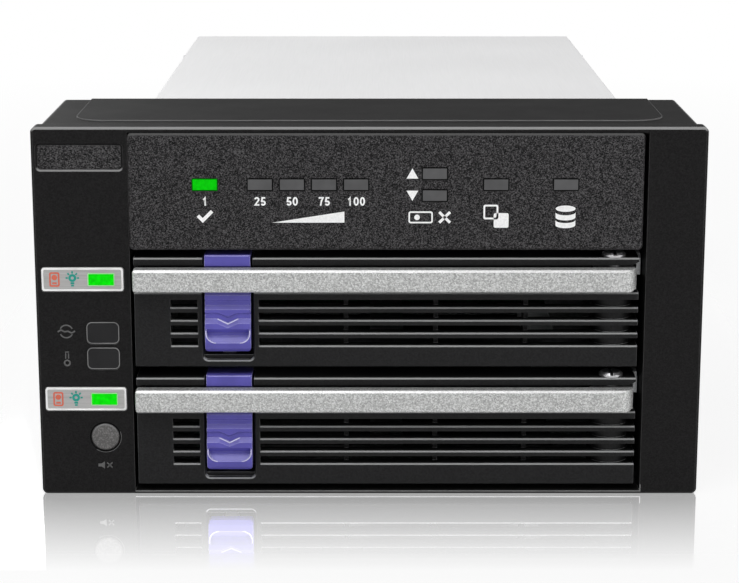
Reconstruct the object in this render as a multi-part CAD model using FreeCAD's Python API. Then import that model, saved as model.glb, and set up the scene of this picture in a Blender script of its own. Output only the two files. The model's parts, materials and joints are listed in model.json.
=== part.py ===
import FreeCAD, Part
import math
import os

# Hot swap drive cage for two 3.5 inch drives in two half-height 5.25 inch bays.
# Millimetres. X to the right, Y from the front to the back, Z up.
# While the pieces are made, Y = 0 is the front face of the bezel, X = 0 its middle and Z = 0 its
# bottom. At the end every piece moves back to the bottom centre of the whole object's box.

V = FreeCAD.Vector
os.makedirs("parts", exist_ok=True)

# ------------------------------------------------------------------ driving sizes

# fits and clearances
running_gap = 0.3
slide_gap = 0.2
snug_gap = 0.1
pin_gap = 0.05
# how far a cutting tool reaches past the face that it opens
past = 1.0

# 3.5 inch drive, not part of the object: it sets the width, pitch and length of what carries it
drive_width = 101.6
drive_length = 147.0
drive_height = 26.1
drive_side_gap = 0.2
drive_front = 17.5
bottom_hole_rear = 41.28
bottom_hole_pitch = 44.45
bottom_hole_span = 95.25
drive_hole_radius = 1.85

# bezel
left_column = 21.2
right_column = 13.0
column_margin = 1.4
bezel_depth = 43.0
lip_depth = 4.5
lip_step = 1.0
lip_top_step = 0.3
lip_chamfer = 0.5
corner_radius = 1.2
front_wall = 3.2
bezel_wall = 1.6
opening_floor = 0.8
opening_roof = 1.2
duct_depth = 12.0
duct_wall = 1.2
top_field_inset = 8.1
top_field_start = 10.1
top_field_height = 0.3
top_field_radius = 7.0
inset_depth = 0.8
inset_bevel = 0.35
hook_width = 5.0
hook_thickness = 1.4
hook_window_start = 22.0
hook_window_length = 4.6
hook_barb = 0.8
side_post_inset = 6.0
side_post_drop = 2.6
side_post_fall = 6.25
hook_from_floor = 3.6
hook_from_top = 9.2

# trays
tray_count = 2
pitch_clearance = 1.6
tray_spacing = 2.6
tray_floor_gap = 1.5
tray_left_gap = 0.8
tray_right_gap = 1.5
tray_wall = 1.2
grille_depth = 3.2
grille_chamfer = 0.3
first_slot_floor = 4.95
slot_rows = 4
slat_thickness = 1.2
channel_lip = 1.65
side_slot_inset = 8.0
rib_first = 48.0
rib_pitch = 20.2
rib_count = 3
rib_thickness = 1.0
channel_height = 7.9
channel_depth = 8.0
channel_shelf = 1.4
top_slat_height = 1.7
ear_reach = 17.0
ear_thickness = 2.4
ear_floor = 3.0
ear_front = 1.0
tray_screw_height = 7.5
tray_screw_from_end = 4.5
boss_radius = 4.4
boss_depth = 5.2
screw_thread_depth = 8.0

# lever
bar_lift = 0.8
bar_proud = 3.6
bar_thickness = 3.0
bar_top_chamfer = 0.5
bar_low_chamfer = 0.3
bar_end_radius = 3.6
bar_end_reach = 4.8
bar_corner_radius = 1.7
bar_left_radius = 0.7
bar_ribs = 5
bar_rib = 1.4
bar_skin = 1.3
eye_radius = 4.6
pivot_from_right = 5.4
pivot_depth = 2.8
hinge_pin_radius = 1.5
hinge_head_radius = 2.7
hinge_head_height = 1.0
hinge_slot_width = 0.7
catch_width = 3.2
catch_height = 1.5
catch_lift = 1.2
catch_reach = 4.0

# latch
latch_from_left = 15.8
latch_width = 10.2
latch_floor = 3.8
latch_lift = 0.1
latch_travel = 1.1
latch_stem_depth = 2.2
latch_deck_depth = 6.4
latch_deck_thickness = 1.2
latch_deck_rise = 0.7
latch_brow_proud = 0.5
latch_corner_radius = 0.9
latch_window_low = 0.4
latch_window_high = 4.9
latch_foot_width = 4.0
latch_foot_height = 3.0
scoop_corner_radius = 2.2
scoop_edge = 0.4
arrow_half_width = 2.2
arrow_drop = 0.95
pocket_gap = 0.5
pocket_depth = 6.8
pocket_rim_floor = 1.6
pocket_rim_radius = 1.0
pocket_rim_bevel = 0.3
pocket_rim_depth = 1.2
spring_leaf = 0.3
spring_length = 4.8
spring_width = 3.0
spring_reach = 1.3
spring_folds = 6

# drive carrier and its guides
sheet = 1.0
rail_room = 5.4
carrier_lift = 0.3
carrier_floor = 0.8
carrier_wall_rise = 3.8
carrier_rib_height = 16.0
carrier_window_margin = 12.0
runner_height = 5.0
runner_middle = 12.0
runner_lead = 2.0
window_margin = 8.0
window_spine = 4.0
guide_plate = 1.4
guide_ledge = 1.2
guide_setback = 4.0
guide_lead = 3.0
guide_end_gap = 3.0
peg_size = 4.0
peg_count = 3
flag_front = 7.0
flag_lift = 2.5
flag_height = 4.8
flag_bevel = 1.0
notch_count = 3
notch_length = 26.0

# cage
body_roof_gap = 2.2
cage_sheet = 1.2
bend_radius = 1.5
vent_start = 17.0
vent_count = 5
vent_pitch = 18.0
vent_length = 11.0
vent_height = 3.4
vent_rise = 1.8
tongue_width = 6.0
tongue_inset = 10.0
bezel_overhang = 1.5
bay_hole_front = 49.4
bay_hole_pitch = 79.25
bay_row_low = 10.0
bay_row_high = 21.84
bay_unit = 41.3
bay_thread_radius = 1.25
bracket_height = 62.0
bracket_foot = 7.0
bracket_gap = 1.9
bracket_margin = 9.0
bracket_window_length = 44.0
bracket_window_height = 8.0
bracket_window_rise = 1.5
lid_flange = 8.0
lid_screw_drop = 4.0
lid_screw_inset = 14.0
rear_flange_depth = 9.0
rear_flange_height = 11.0
rear_flange_gap = 1.5
sheet_screw_length = 3.0

# boards
board_thickness = 1.6
shelf_gap = 2.0
shelf_flange = 2.2
shelf_setback = 6.0
shelf_vents = 4
shelf_vent_pitch = 24.0
shelf_vent_width = 12.0
shelf_vent_end = 39.5
standoff_height = 5.0
standoff_half = 2.4
standoff_head = 3.0
standoff_inset = 7.0
standoff_front = 10.0
standoff_back = 19.5
board_setback = 14.0
board_inset = 2.5
processor_setback = 64.0
processor_offset = 24.1
processor_size = 24.0
processor_height = 2.0
sink_base = 1.6
sink_height = 7.0
sink_fins = 7
memory_offset = 16.0
memory_pitch = 22.0
memory_width = 14.0
memory_depth = 10.0
memory_height = 1.2
coil_offset = 34.0
coil_size = 12.0
coil_height = 4.0
capacitor_pitch = 12.0
capacitor_radius = 3.2
capacitor_height = 8.0
backplane_gap = 5.0
backplane_foot_offset = 32.0
bridge_half = 20.0
air_window_floor = 5.0
air_window_height = 15.0
connector_from_side = 32.0
connector_rise = 4.6
connector_width = 42.0
connector_height = 6.0
slot_edge = 3.4
slot_opening = 2.4
slot_depth = 3.8
data_slot = 11.2
power_slot = 21.8
tongue_thickness = 0.7
cable_room = 17.7
side_board_front = 9.5
side_board_inset = 3.2
side_board_drop = 4.3
side_board_rise = 9.75
header_width = 12.0
header_height = 5.0
header_depth = 5.0
led_board_front = 9.0
led_board_inset = 2.4
led_board_edge = 1.8
led_post_inset = 6.0
led_post_drop = 7.0
led_header_offset = 34.0
led_header_rise = 4.5
post_half = 2.2
peg_half = 1.2

# indicators
panel_clearance = 1.9
panel_height = 26.2
panel_thickness = 3.0
panel_proud = 0.5
panel_wall = 1.2
panel_radius = 1.0
panel_right_gap = 1.0
panel_chamfer = 0.4
lens_width = 5.3
lens_height = 2.35
lens_proud = 0.2
lens_collar = 0.6
lens_drop = 11.4
fail_spread = 2.45
ok_from_left = 17.0
rebuild_from_left = 29.15
rebuild_pitch = 7.07
rebuild_count = 4
fail_from_left = 67.7
source_from_left = 81.2
capacity_from_left = 96.6
plate_proud = 0.2
status_height = 5.5
status_drop = 4.85
status_radius = 0.7
status_lens_width = 5.6
status_lens_height = 2.5
status_lens_from_opening = 6.45
alarm_width = 7.1
alarm_height = 4.8
alarm_from_opening = 6.4
alarm_rise = 4.15
alarm_pitch = 5.9
alarm_radius = 1.1
badge_height = 5.4
badge_drop = 6.7
button_from_opening = 6.5
button_drop = 8.95
button_radius = 3.2
button_travel = 1.0
button_chamfer = 0.4
switch_width = 6.0
switch_height = 2.4
plunger_height = 1.2
plunger_half = 1.4
button_gap = 0.15

# rear
fan_floor_gap = 1.0
fan_roof_gap = 1.8
fan_rim = 1.5
fan_corner = 5.0
fan_depth = 15.0
fan_side_gap = 4.3
fan_blades = 7
blade_chord = 12.0
blade_pitch = 38.0
blade_thickness = 0.9
blade_gap = 1.2
hub_radius = 14.0
hub_chamfer = 0.7
spindle_radius = 2.0
spindle_setback = 4.0
motor_depth = 3.0
rotor_setback = 1.0
strut_width = 2.4
strut_turn = 20.0
grille_rows = 9
grille_pitch = 5.0
grille_slot = 3.0
grille_web = 3.0
rear_vent_rows = 5
rear_vent_pitch = 10.0
rear_vent_height = 4.0
rear_vent_margin = 8.0
rear_proud = 2.0
port_first = 17.9
port_pitch = 16.0
port_width = 9.6
port_height = 6.0
port_depth = 11.0
port_mouth = 4.5
port_slot = 1.6
inlet_from_middle = 34.1
inlet_width = 22.0
inlet_height = 8.4
inlet_key = 1.8
inlet_depth = 14.0
inlet_mouth = 9.0
inlet_pin_pitch = 5.08
inlet_pin = 2.1
socket_wall = 1.2

# fasteners
screw_radius = 1.5
screw_head_radius = 3.0
screw_head_height = 1.6
small_screw_radius = 1.0
small_head_radius = 2.0
small_screw_grip = 4.0
fan_screw_length = 12.0

# ------------------------------------------------------------------ worked-out places

# across
carrier_half = drive_width / 2 + drive_side_gap + sheet
opening_half = carrier_half + rail_room
bezel_width = left_column + 2 * opening_half + right_column
opening_left = -bezel_width / 2 + left_column
opening_right = opening_left + 2 * opening_half
opening_middle = (opening_left + opening_right) / 2
column_middle = -bezel_width / 2 + left_column / 2
status_width = left_column - 2 * column_margin
tray_left = opening_left + tray_left_gap
tray_right = opening_right - tray_right_gap
pivot_x = tray_right - pivot_from_right
latch_x0 = tray_left + latch_from_left
latch_x1 = latch_x0 + latch_width
latch_x = (latch_x0 + latch_x1) / 2
pocket_x0 = latch_x0 - pocket_gap
pocket_x1 = latch_x1 + pocket_gap
bar_x0 = tray_left
bar_x1 = pivot_x + bar_end_reach
cage_left = opening_left - cage_sheet
cage_right = opening_right + cage_sheet
guide_face = opening_half - guide_plate
guide_edge = carrier_half + 2 * running_gap
bay_width = bezel_width - 2 * bezel_overhang
inlet_x = opening_middle - inlet_from_middle
button_x = opening_left - button_from_opening
status_lens_x = opening_left - status_lens_from_opening
alarm_x = opening_left - alarm_from_opening
port_xs = [opening_middle + port_first + port_pitch * i for i in range(2)]

# up
tray_pitch = drive_height + pitch_clearance
tray_height = tray_pitch - tray_spacing
tray_base = opening_floor + tray_floor_gap
tray_bases = [tray_base + tray_pitch * i for i in range(tray_count)]
tray_names = ["lower", "upper"]
channel_floor = tray_height - channel_height
slat_pitch = (channel_floor - channel_lip + slat_thickness - first_slot_floor) / slot_rows
slot_height = slat_pitch - slat_thickness
bar_floor = channel_floor + bar_lift
pocket_floor = latch_floor - latch_travel - snug_gap
pad_height = channel_floor + latch_lift - latch_floor
flag_floor = channel_floor + flag_lift
carrier_wall_height = channel_floor + carrier_wall_rise
bar_top = tray_height - top_slat_height - running_gap
panel_floor = tray_bases[-1] + tray_height + panel_clearance
opening_top = panel_floor + panel_height + snug_gap
bezel_height = opening_top + opening_roof
shell_top = bezel_height - lip_top_step
body_bottom = lip_step
body_floor = body_bottom + cage_sheet
cage_top = shell_top - bezel_wall - body_roof_gap
lid_floor = cage_top - cage_sheet
lens_row = panel_floor + panel_height - lens_drop
status_z = [base + tray_height - status_drop for base in tray_bases]
alarm_z = [status_z[0] + status_height / 2 + alarm_rise + alarm_pitch * i for i in range(2)]
button_z = status_z[0] - button_drop
badge_z = bezel_height - badge_drop
hook_rows = [body_floor + hook_from_floor, lid_floor - hook_from_top]
shelf_height = panel_floor + shelf_gap
shelf_top = shelf_height + sheet
board_floor = shelf_top + standoff_height
board_top = board_floor + board_thickness
fan_size = board_floor - fan_roof_gap - body_floor - fan_floor_gap
fan_bore = fan_size - 2 * fan_rim
fan_hole_reach = fan_size / 2 - fan_corner
fan_x = opening_left + fan_side_gap + fan_size / 2
fan_z = body_floor + fan_floor_gap + fan_size / 2
grille_radius = fan_bore / 2 - 2.5

# back
bar_front = -bar_proud
bar_back = bar_front + bar_thickness
channel_back = channel_depth + tray_wall
cage_front = duct_depth + snug_gap
drive_back = drive_front + drive_length
backplane_front = drive_back + backplane_gap
backplane_back = backplane_front + board_thickness
fan_front = backplane_back + cable_room
fan_back = fan_front + fan_depth
body_length = fan_back + cage_sheet
bay_hole_columns = [lip_depth + bay_hole_front, lip_depth + bay_hole_front + bay_hole_pitch]
bracket_front = bezel_depth + bracket_gap
bracket_back = bay_hole_columns[-1] + bracket_margin
tray_screw_y = ear_reach - tray_screw_from_end
board_front = duct_depth + board_setback
processor_y = board_front + processor_setback
middle_y = (bar_front + body_length + rear_proud) / 2

# indicator windows in the panel
rebuild_places = [(opening_left + rebuild_from_left + rebuild_pitch * i, lens_row)
                  for i in range(rebuild_count)]
fault_places = [
    (opening_left + fail_from_left, lens_row + fail_spread),
    (opening_left + fail_from_left, lens_row - fail_spread),
    (opening_left + source_from_left, lens_row),
    (opening_left + capacity_from_left, lens_row),
]
ok_place = (opening_left + ok_from_left, lens_row)


# ------------------------------------------------------------------ helpers

def box(x0, x1, y0, y1, z0, z1):
    return Part.makeBox(x1 - x0, y1 - y0, z1 - z0, V(x0, y0, z0))


def side_box(side, near, far, y0, y1, z0, z1):
    """Box between two distances from the opening's middle; side is -1 for left, 1 for right."""
    a = opening_middle + side * near
    b = opening_middle + side * far
    return box(min(a, b), max(a, b), y0, y1, z0, z1)


def rod_x(x0, x1, y, z, r):
    return Part.makeCylinder(r, x1 - x0, V(x0, y, z), V(1, 0, 0))


def rod_y(x, y0, y1, z, r):
    return Part.makeCylinder(r, y1 - y0, V(x, y0, z), V(0, 1, 0))


def rod_z(x, y, z0, z1, r):
    return Part.makeCylinder(r, z1 - z0, V(x, y, z0), V(0, 0, 1))


def square_y(x, y0, y1, z, half):
    return box(x - half, x + half, y0, y1, z - half, z + half)


def rounded_wire(a0, a1, b0, b1, radii, place):
    """Rectangle in two directions a and b, with one corner radius or four.

    The four go round from (a1, b0) over (a1, b1) and (a0, b1) to (a0, b0); place turns (a, b)
    into a point.
    """
    if not isinstance(radii, tuple):
        radii = (radii,) * 4
    corners = ((a1, b0), (a1, b1), (a0, b1), (a0, b0))
    ways = ((1, 0), (0, 1), (-1, 0), (0, -1))
    edges = []
    last = None
    first = None
    for i, ((a, b), r) in enumerate(zip(corners, radii)):
        (ia, ib), (oa, ob) = ways[i], ways[(i + 1) % 4]
        start = (a - r * ia, b - r * ib)
        end = (a + r * oa, b + r * ob)
        if last:
            edges.append(Part.LineSegment(place(*last), place(*start)).toShape())
        else:
            first = start
        if r:
            k = r * (1 - math.sqrt(0.5))
            middle = (a - k * ia + k * oa, b - k * ib + k * ob)
            edges.append(Part.Arc(place(*start), place(*middle), place(*end)).toShape())
        last = end
    edges.append(Part.LineSegment(place(*last), place(*first)).toShape())
    return Part.Wire(edges)


def wire_y(x0, x1, y, z0, z1, radii):
    return rounded_wire(x0, x1, z0, z1, radii, lambda a, b: V(a, y, b))


def plate_y(x0, x1, y0, y1, z0, z1, radii):
    """Plate that faces the front, with rounded corners."""
    return Part.Face(wire_y(x0, x1, y0, z0, z1, radii)).extrude(V(0, y1 - y0, 0))


def plate_z(x0, x1, y0, y1, z0, z1, radii):
    """Plate that lies flat, with rounded corners."""
    wire = rounded_wire(x0, x1, y0, y1, radii, lambda a, b: V(a, b, z0))
    return Part.Face(wire).extrude(V(0, 0, z1 - z0))


def prism(points, direction):
    """Closed polygon pushed along a direction."""
    return Part.Face(Part.makePolygon(points + points[:1])).extrude(direction)


def hexagon(x, y, z, radius):
    return [V(x + radius * math.cos(math.radians(60 * i)), y + radius * math.sin(math.radians(60 * i)), z)
            for i in range(6)]


def fuse(shapes):
    joined = shapes[0]
    if len(shapes) > 1:
        joined = shapes[0].multiFuse(shapes[1:])
    return joined.removeSplitter()


def cut(shape, tools):
    return shape.cut(Part.makeCompound(tools)) if tools else shape


def front_rim(shape, y):
    """Edges that lie in the front plane at y."""
    return [e for e in shape.Edges if e.BoundBox.YMax < y + 1e-6]


def bevelled_recess(x0, x1, z0, z1, radii, depth, bevel):
    """Cutting tool for a shallow recess in a front face, with a bevel round its mouth."""
    recess = plate_y(x0, x1, -past, depth, z0, z1, radii)
    wider = tuple(r + bevel if r else 0 for r in radii)
    mouth = Part.makeLoft([
        wire_y(x0 - bevel, x1 + bevel, 0, z0 - bevel, z1 + bevel, wider),
        wire_y(x0, x1, bevel, z0, z1, radii),
    ], True, True)
    return recess.fuse(mouth)


def screw(seat, towards, length, radius=screw_radius, head_radius=screw_head_radius):
    """Hexagon-headed chassis screw: seat is under its head, towards is where its tip points."""
    head = prism(hexagon(0, 0, 0, head_radius), V(0, 0, -screw_head_height))
    shape = fuse([head, rod_z(0, 0, 0, length, radius)])
    shape.Placement = FreeCAD.Placement(seat, FreeCAD.Rotation(V(0, 0, 1), towards))
    return shape


def save(name, shapes):
    """Moves a node to the object's own origin and writes it."""
    group = Part.makeCompound(shapes) if len(shapes) > 1 else shapes[0]
    group = group.copy()
    group.translate(V(0, -middle_y, 0))
    group.exportStep("parts/" + name + ".step")


# ------------------------------------------------------------------ bezel

def side_board_posts():
    x = column_middle - side_post_inset
    return [(x, button_z - side_post_drop), (x, status_z[1] - side_post_fall)]


def snap_hook(side, z):
    """Arm beside the sheet-metal body; its barb snaps into a window in the body's wall."""
    face = opening_half + cage_sheet + running_gap
    z0 = z - hook_width / 2
    end = hook_window_start + hook_window_length
    arm = side_box(side, face, face + hook_thickness, front_wall - bezel_wall / 2, end, z0, z0 + hook_width)
    tip = opening_middle + side * (face - running_gap - hook_barb)
    root = opening_middle + side * face
    barb = prism([
        V(root, hook_window_start + running_gap, z0),
        V(tip, hook_window_start + running_gap, z0),
        V(root, end - running_gap, z0),
    ], V(0, 0, hook_width))
    return fuse([arm, barb])


def make_bezel():
    half = bezel_width / 2
    lip = plate_y(-half, half, 0, lip_depth, 0, bezel_height, corner_radius)
    lip = lip.makeChamfer(lip_chamfer, front_rim(lip, 0))
    shell_half = half - lip_step
    shell = plate_y(-shell_half, shell_half, lip_depth - lip_step, bezel_depth, lip_step, shell_top,
                    corner_radius)
    # raised field on top, with round front corners
    field = plate_z(
        -half + top_field_inset,
        half - top_field_inset,
        top_field_start,
        bezel_depth,
        shell_top - top_field_height,
        shell_top + top_field_height,
        (top_field_radius, 0, 0, top_field_radius),
    )
    body = fuse([lip, shell, field])
    inner_half = shell_half - bezel_wall
    inside = box(
        -inner_half, inner_half,
        front_wall, bezel_depth + past,
        lip_step + bezel_wall, shell_top - bezel_wall,
    )
    duct = box(
        opening_left - duct_wall, opening_right + duct_wall,
        front_wall - bezel_wall / 2, duct_depth,
        lip_step, opening_top,
    )
    hooks = [snap_hook(side, z) for side in (-1, 1) for z in hook_rows]
    posts = []
    for x, z in side_board_posts():
        posts.append(square_y(x, front_wall - bezel_wall / 2, side_board_front, z, post_half))
        posts.append(square_y(x, side_board_front, side_board_front + board_thickness, z, peg_half))
    body = fuse([body.cut(inside), duct] + hooks + posts)
    tools = [box(opening_left, opening_right, -past, duct_depth + past, opening_floor, opening_top)]
    # the sheet-metal body passes through the shell's floor behind the duct
    tools.append(box(
        cage_left - running_gap, cage_right + running_gap,
        duct_depth, bezel_depth + past,
        lip_step - past, lip_step + bezel_wall + past,
    ))
    plate_half = status_width / 2 + snug_gap
    for z in status_z:
        reach = status_height / 2 + snug_gap
        tools.append(plate_y(
            column_middle - plate_half, column_middle + plate_half,
            -past, inset_depth,
            z - reach, z + reach,
            status_radius + snug_gap,
        ))
        tools.append(status_lens_box(z, snug_gap, -past, front_wall + past))
    for z in alarm_z:
        tools.append(alarm_pane(z, snug_gap, -past, front_wall + past))
    reach = badge_height / 2 + snug_gap
    tools.append(bevelled_recess(
        column_middle - plate_half, column_middle + plate_half,
        badge_z - reach, badge_z + reach,
        (status_radius,) * 4, inset_depth, inset_bevel,
    ))
    tools.append(rod_y(button_x, -past, front_wall + past, button_z, button_radius + button_gap))
    return [cut(body, tools)]


def status_lens_box(z, gap, y0, y1):
    w = status_lens_width / 2 + gap
    h = status_lens_height / 2 + gap
    return box(status_lens_x - w, status_lens_x + w, y0, y1, z - h, z + h)


def alarm_pane(z, gap, y0, y1):
    w = alarm_width / 2 + gap
    return plate_y(alarm_x - w, alarm_x + w, y0, y1, z - gap, z + alarm_height + gap, alarm_radius + gap)


def lens_box(x, z, gap, y0, y1):
    w = lens_width / 2 + gap
    h = lens_height / 2 + gap
    return box(x - w, x + w, y0, y1, z - h, z + h)


def lens(x, z):
    """Light pipe: a rectangular window with a collar behind the panel."""
    window = lens_box(x, z, 0, -panel_proud - lens_proud, led_board_front - running_gap)
    collar = lens_box(x, z, lens_collar, panel_thickness, panel_thickness + sheet)
    return fuse([window, collar])


def led_board_posts():
    """One post low on the left and one high on the right."""
    return [
        (opening_left + led_post_inset, panel_floor + led_post_drop),
        (opening_right - panel_right_gap - led_post_inset, panel_floor + panel_height - led_post_drop),
    ]


def make_indicator_panel():
    x0 = opening_left + snug_gap
    x1 = opening_right - panel_right_gap
    z1 = panel_floor + panel_height
    face = plate_y(x0, x1, -panel_proud, panel_thickness, panel_floor, z1, panel_radius)
    face = face.makeChamfer(panel_chamfer, front_rim(face, -panel_proud))
    root = panel_thickness - sheet
    skirt = box(x0, x1, root, led_board_front, panel_floor + panel_radius, z1 - panel_radius)
    hollow = box(
        x0 + panel_wall, x1 - panel_wall,
        panel_thickness, led_board_front + past,
        panel_floor + panel_radius + panel_wall, z1 - panel_radius - panel_wall,
    )
    posts = [square_y(x, root, led_board_front, z, post_half) for x, z in led_board_posts()]
    body = fuse([fuse([face, skirt]).cut(hollow)] + posts)
    tools = [lens_box(x, z, snug_gap, -panel_proud - past, panel_thickness + past)
             for x, z in [ok_place] + rebuild_places + fault_places]
    tools += [rod_y(x, panel_thickness, led_board_front + past, z, small_screw_radius)
              for x, z in led_board_posts()]
    return [cut(body, tools)]


def header(x, z, back):
    """Cable header on the rear face of an upright board, open to the back."""
    w, h = header_width / 2, header_height / 2
    body = box(x - w, x + w, back, back + header_depth, z - h, z + h)
    mouth = box(x - w + sheet, x + w - sheet, back + sheet, back + header_depth + past,
                z - h + sheet, z + h - sheet)
    return body.cut(mouth)


def make_led_board():
    back = led_board_front + board_thickness
    board = box(
        opening_left + led_board_inset, opening_right - panel_right_gap - led_board_inset,
        led_board_front, back,
        panel_floor + led_board_edge, panel_floor + panel_height - led_board_edge,
    )
    plug = header(opening_middle + led_header_offset, panel_floor + led_header_rise, back)
    holes = [rod_y(x, led_board_front - past, back + past, z, small_screw_radius + pin_gap)
             for x, z in led_board_posts()]
    return [fuse([cut(board, holes), plug])]


def make_status_plate(z):
    w, h = status_width / 2, status_height / 2
    front = -plate_proud
    plate = plate_y(column_middle - w, column_middle + w, front, inset_depth, z - h, z + h, status_radius)
    plate = plate.makeChamfer(plate_proud, front_rim(plate, front))
    return [plate.cut(status_lens_box(z, snug_gap, front - past, inset_depth + past))]


def make_status_lens(z):
    window = status_lens_box(z, 0, -plate_proud - plate_proud, side_board_front - running_gap)
    collar = status_lens_box(z, lens_collar, front_wall, front_wall + sheet)
    return [fuse([window, collar])]


def make_alarm_windows():
    windows = []
    for z in alarm_z:
        pane = alarm_pane(z, 0, -plate_proud, front_wall)
        middle = z + alarm_height / 2
        collar_half = alarm_height / 2 + snug_gap + snug_gap
        w = alarm_width / 2 + alarm_radius / 2
        collar = box(alarm_x - w, alarm_x + w, front_wall, front_wall + sheet,
                     middle - collar_half, middle + collar_half)
        pipe = square_y(alarm_x, front_wall, side_board_front - running_gap, middle, alarm_radius)
        windows.append(fuse([pane, collar, pipe]))
    return windows


def make_badge():
    w, h = status_width / 2, badge_height / 2
    return [plate_y(column_middle - w, column_middle + w, inset_bevel, inset_depth,
                    badge_z - h, badge_z + h, status_radius - snug_gap)]


def make_button():
    flange = front_wall + running_gap
    face = rod_y(button_x, -plate_proud, flange + sheet, button_z, button_radius)
    face = face.makeChamfer(button_chamfer, front_rim(face, -plate_proud))
    reach = button_radius + sheet
    stop = box(button_x - button_radius, button_x + button_radius, flange, flange + sheet,
               button_z - reach, button_z + reach)
    stem_end = side_board_front - switch_height - plunger_height - slide_gap
    stem = square_y(button_x, flange, stem_end, button_z, plunger_half)
    return [fuse([face, stop, stem])]


def make_side_board():
    half = left_column / 2 - side_board_inset
    back = side_board_front + board_thickness
    top = status_z[1] + side_board_rise
    board = box(column_middle - half, column_middle + half, side_board_front, back,
                button_z - side_board_drop, top)
    holes = [square_y(x, side_board_front - past, back + past, z, peg_half + pin_gap)
             for x, z in side_board_posts()]
    return [fuse([cut(board, holes), header(column_middle, top - header_height, back)])]


def make_mute_switch():
    front = side_board_front - switch_height
    case = square_y(button_x, front, side_board_front, button_z, switch_width / 2)
    # the plunger's tip waits just behind the pressed button
    tip = front - plunger_height + button_travel
    return [fuse([case, square_y(button_x, tip, front + sheet / 2, button_z, plunger_half)])]


# ------------------------------------------------------------------ tray

def slot_tool(x0, x1, z, depth):
    """Cuts one slot of the grille; the slat below it gets a bevelled upper edge."""
    return prism([
        V(x0, -past, z - grille_chamfer - past),
        V(x0, grille_chamfer, z),
        V(x0, depth, z),
        V(x0, depth, z + slot_height),
        V(x0, -past, z + slot_height),
    ], V(x1 - x0, 0, 0))


def make_tray_front(base):
    x0, x1 = tray_left, tray_right
    top = base + tray_height
    shelf_z = base + channel_floor
    back = channel_back
    grille = box(x0, x1, 0, grille_depth, base, shelf_z)
    edges = [e for e in front_rim(grille, 0) if e.BoundBox.XLength > 1]
    grille = grille.makeChamfer(grille_chamfer, edges)
    shelf = box(x0, x1, tray_wall, back, shelf_z - channel_shelf, shelf_z)
    rear_wall = box(x0, x1, channel_depth, back, shelf_z - channel_shelf, top)
    # top slat, cut up slantwise at its right end
    slat = prism([
        V(x0, 0, top - top_slat_height),
        V(x0, 0, top),
        V(x1, 0, top),
        V(x1, 0, top - top_slat_height / 2),
        V(x1 - top_slat_height, 0, top - top_slat_height),
    ], V(0, back, 0))
    slat = slat.makeChamfer(grille_chamfer, [
        e for e in front_rim(slat, 0) if e.BoundBox.ZMin > top - grille_chamfer and e.BoundBox.XLength > 1])
    left_wall = box(x0, x0 + tray_wall, tray_wall, ear_reach - ear_thickness, base, top)
    right_wall = box(x1 - tray_wall, x1, tray_wall, back, base, shelf_z)
    floor = box(x0, x1, tray_wall, back, base, base + tray_wall)
    pocket_walls = box(pocket_x0 - tray_wall, pocket_x1 + tray_wall, tray_wall, pocket_depth + tray_wall,
                       base, shelf_z)
    ears = [side_box(side, carrier_half, carrier_half + ear_thickness, ear_front, ear_reach,
                     base + ear_floor, shelf_z)
            for side in (-1, 1)]
    body = fuse([grille, shelf, rear_wall, slat, left_wall, right_wall, floor, pocket_walls] + ears)
    tools = []
    for row in range(slot_rows):
        z = base + first_slot_floor + slat_pitch * row
        tools.append(slot_tool(x0 + side_slot_inset, pocket_x0 - tray_wall, z, grille_depth))
        # the right-hand slots run on past the hinge boss and round the right side
        tools.append(slot_tool(pocket_x1 + tray_wall, x1 + past, z, grille_depth))
        tools.append(box(x1 - tray_wall, x1 + past, grille_depth, channel_depth, z, z + slot_height))
    # latch pocket, open to the lever's channel, with a round-cornered mouth, and the latch's way
    # through the top slat
    tools.append(box(pocket_x0, pocket_x1, -past, pocket_depth, base + pocket_floor, shelf_z + past))
    mouth = base + pocket_rim_floor
    tools.append(bevelled_recess(
        pocket_x0, pocket_x1, mouth, shelf_z + past,
        (pocket_rim_radius, 0, 0, pocket_rim_radius), pocket_rim_depth, pocket_rim_bevel,
    ))
    tools.append(box(pocket_x0, pocket_x1, -past, latch_deck_depth + running_gap, shelf_z + past, top + past))
    reach = carrier_half + ear_thickness + past
    tools.append(rod_x(opening_middle - reach, opening_middle + reach, tray_screw_y, base + tray_screw_height,
                       screw_radius))
    body = cut(body, tools)
    boss = rod_z(pivot_x, boss_depth, base, shelf_z, boss_radius)
    boss_root = box(pivot_x - boss_radius, pivot_x, boss_depth, back, base, shelf_z)
    ribs = []
    for i in range(rib_count):
        x = opening_left + rib_first + rib_pitch * i
        ribs.append(box(x - rib_thickness / 2, x + rib_thickness / 2, grille_depth - tray_wall / 2, back,
                        base + tray_wall / 2, shelf_z - tray_wall / 2))
    body = fuse([body, boss, boss_root] + ribs)
    # hinge screw: free in the top slat, thread in the boss
    return [cut(body, [
        rod_z(pivot_x, pivot_depth, top - top_slat_height - past, top + past, hinge_pin_radius + pin_gap),
        rod_z(pivot_x, pivot_depth, shelf_z - screw_thread_depth - past, shelf_z + past, hinge_pin_radius),
    ])]


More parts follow.
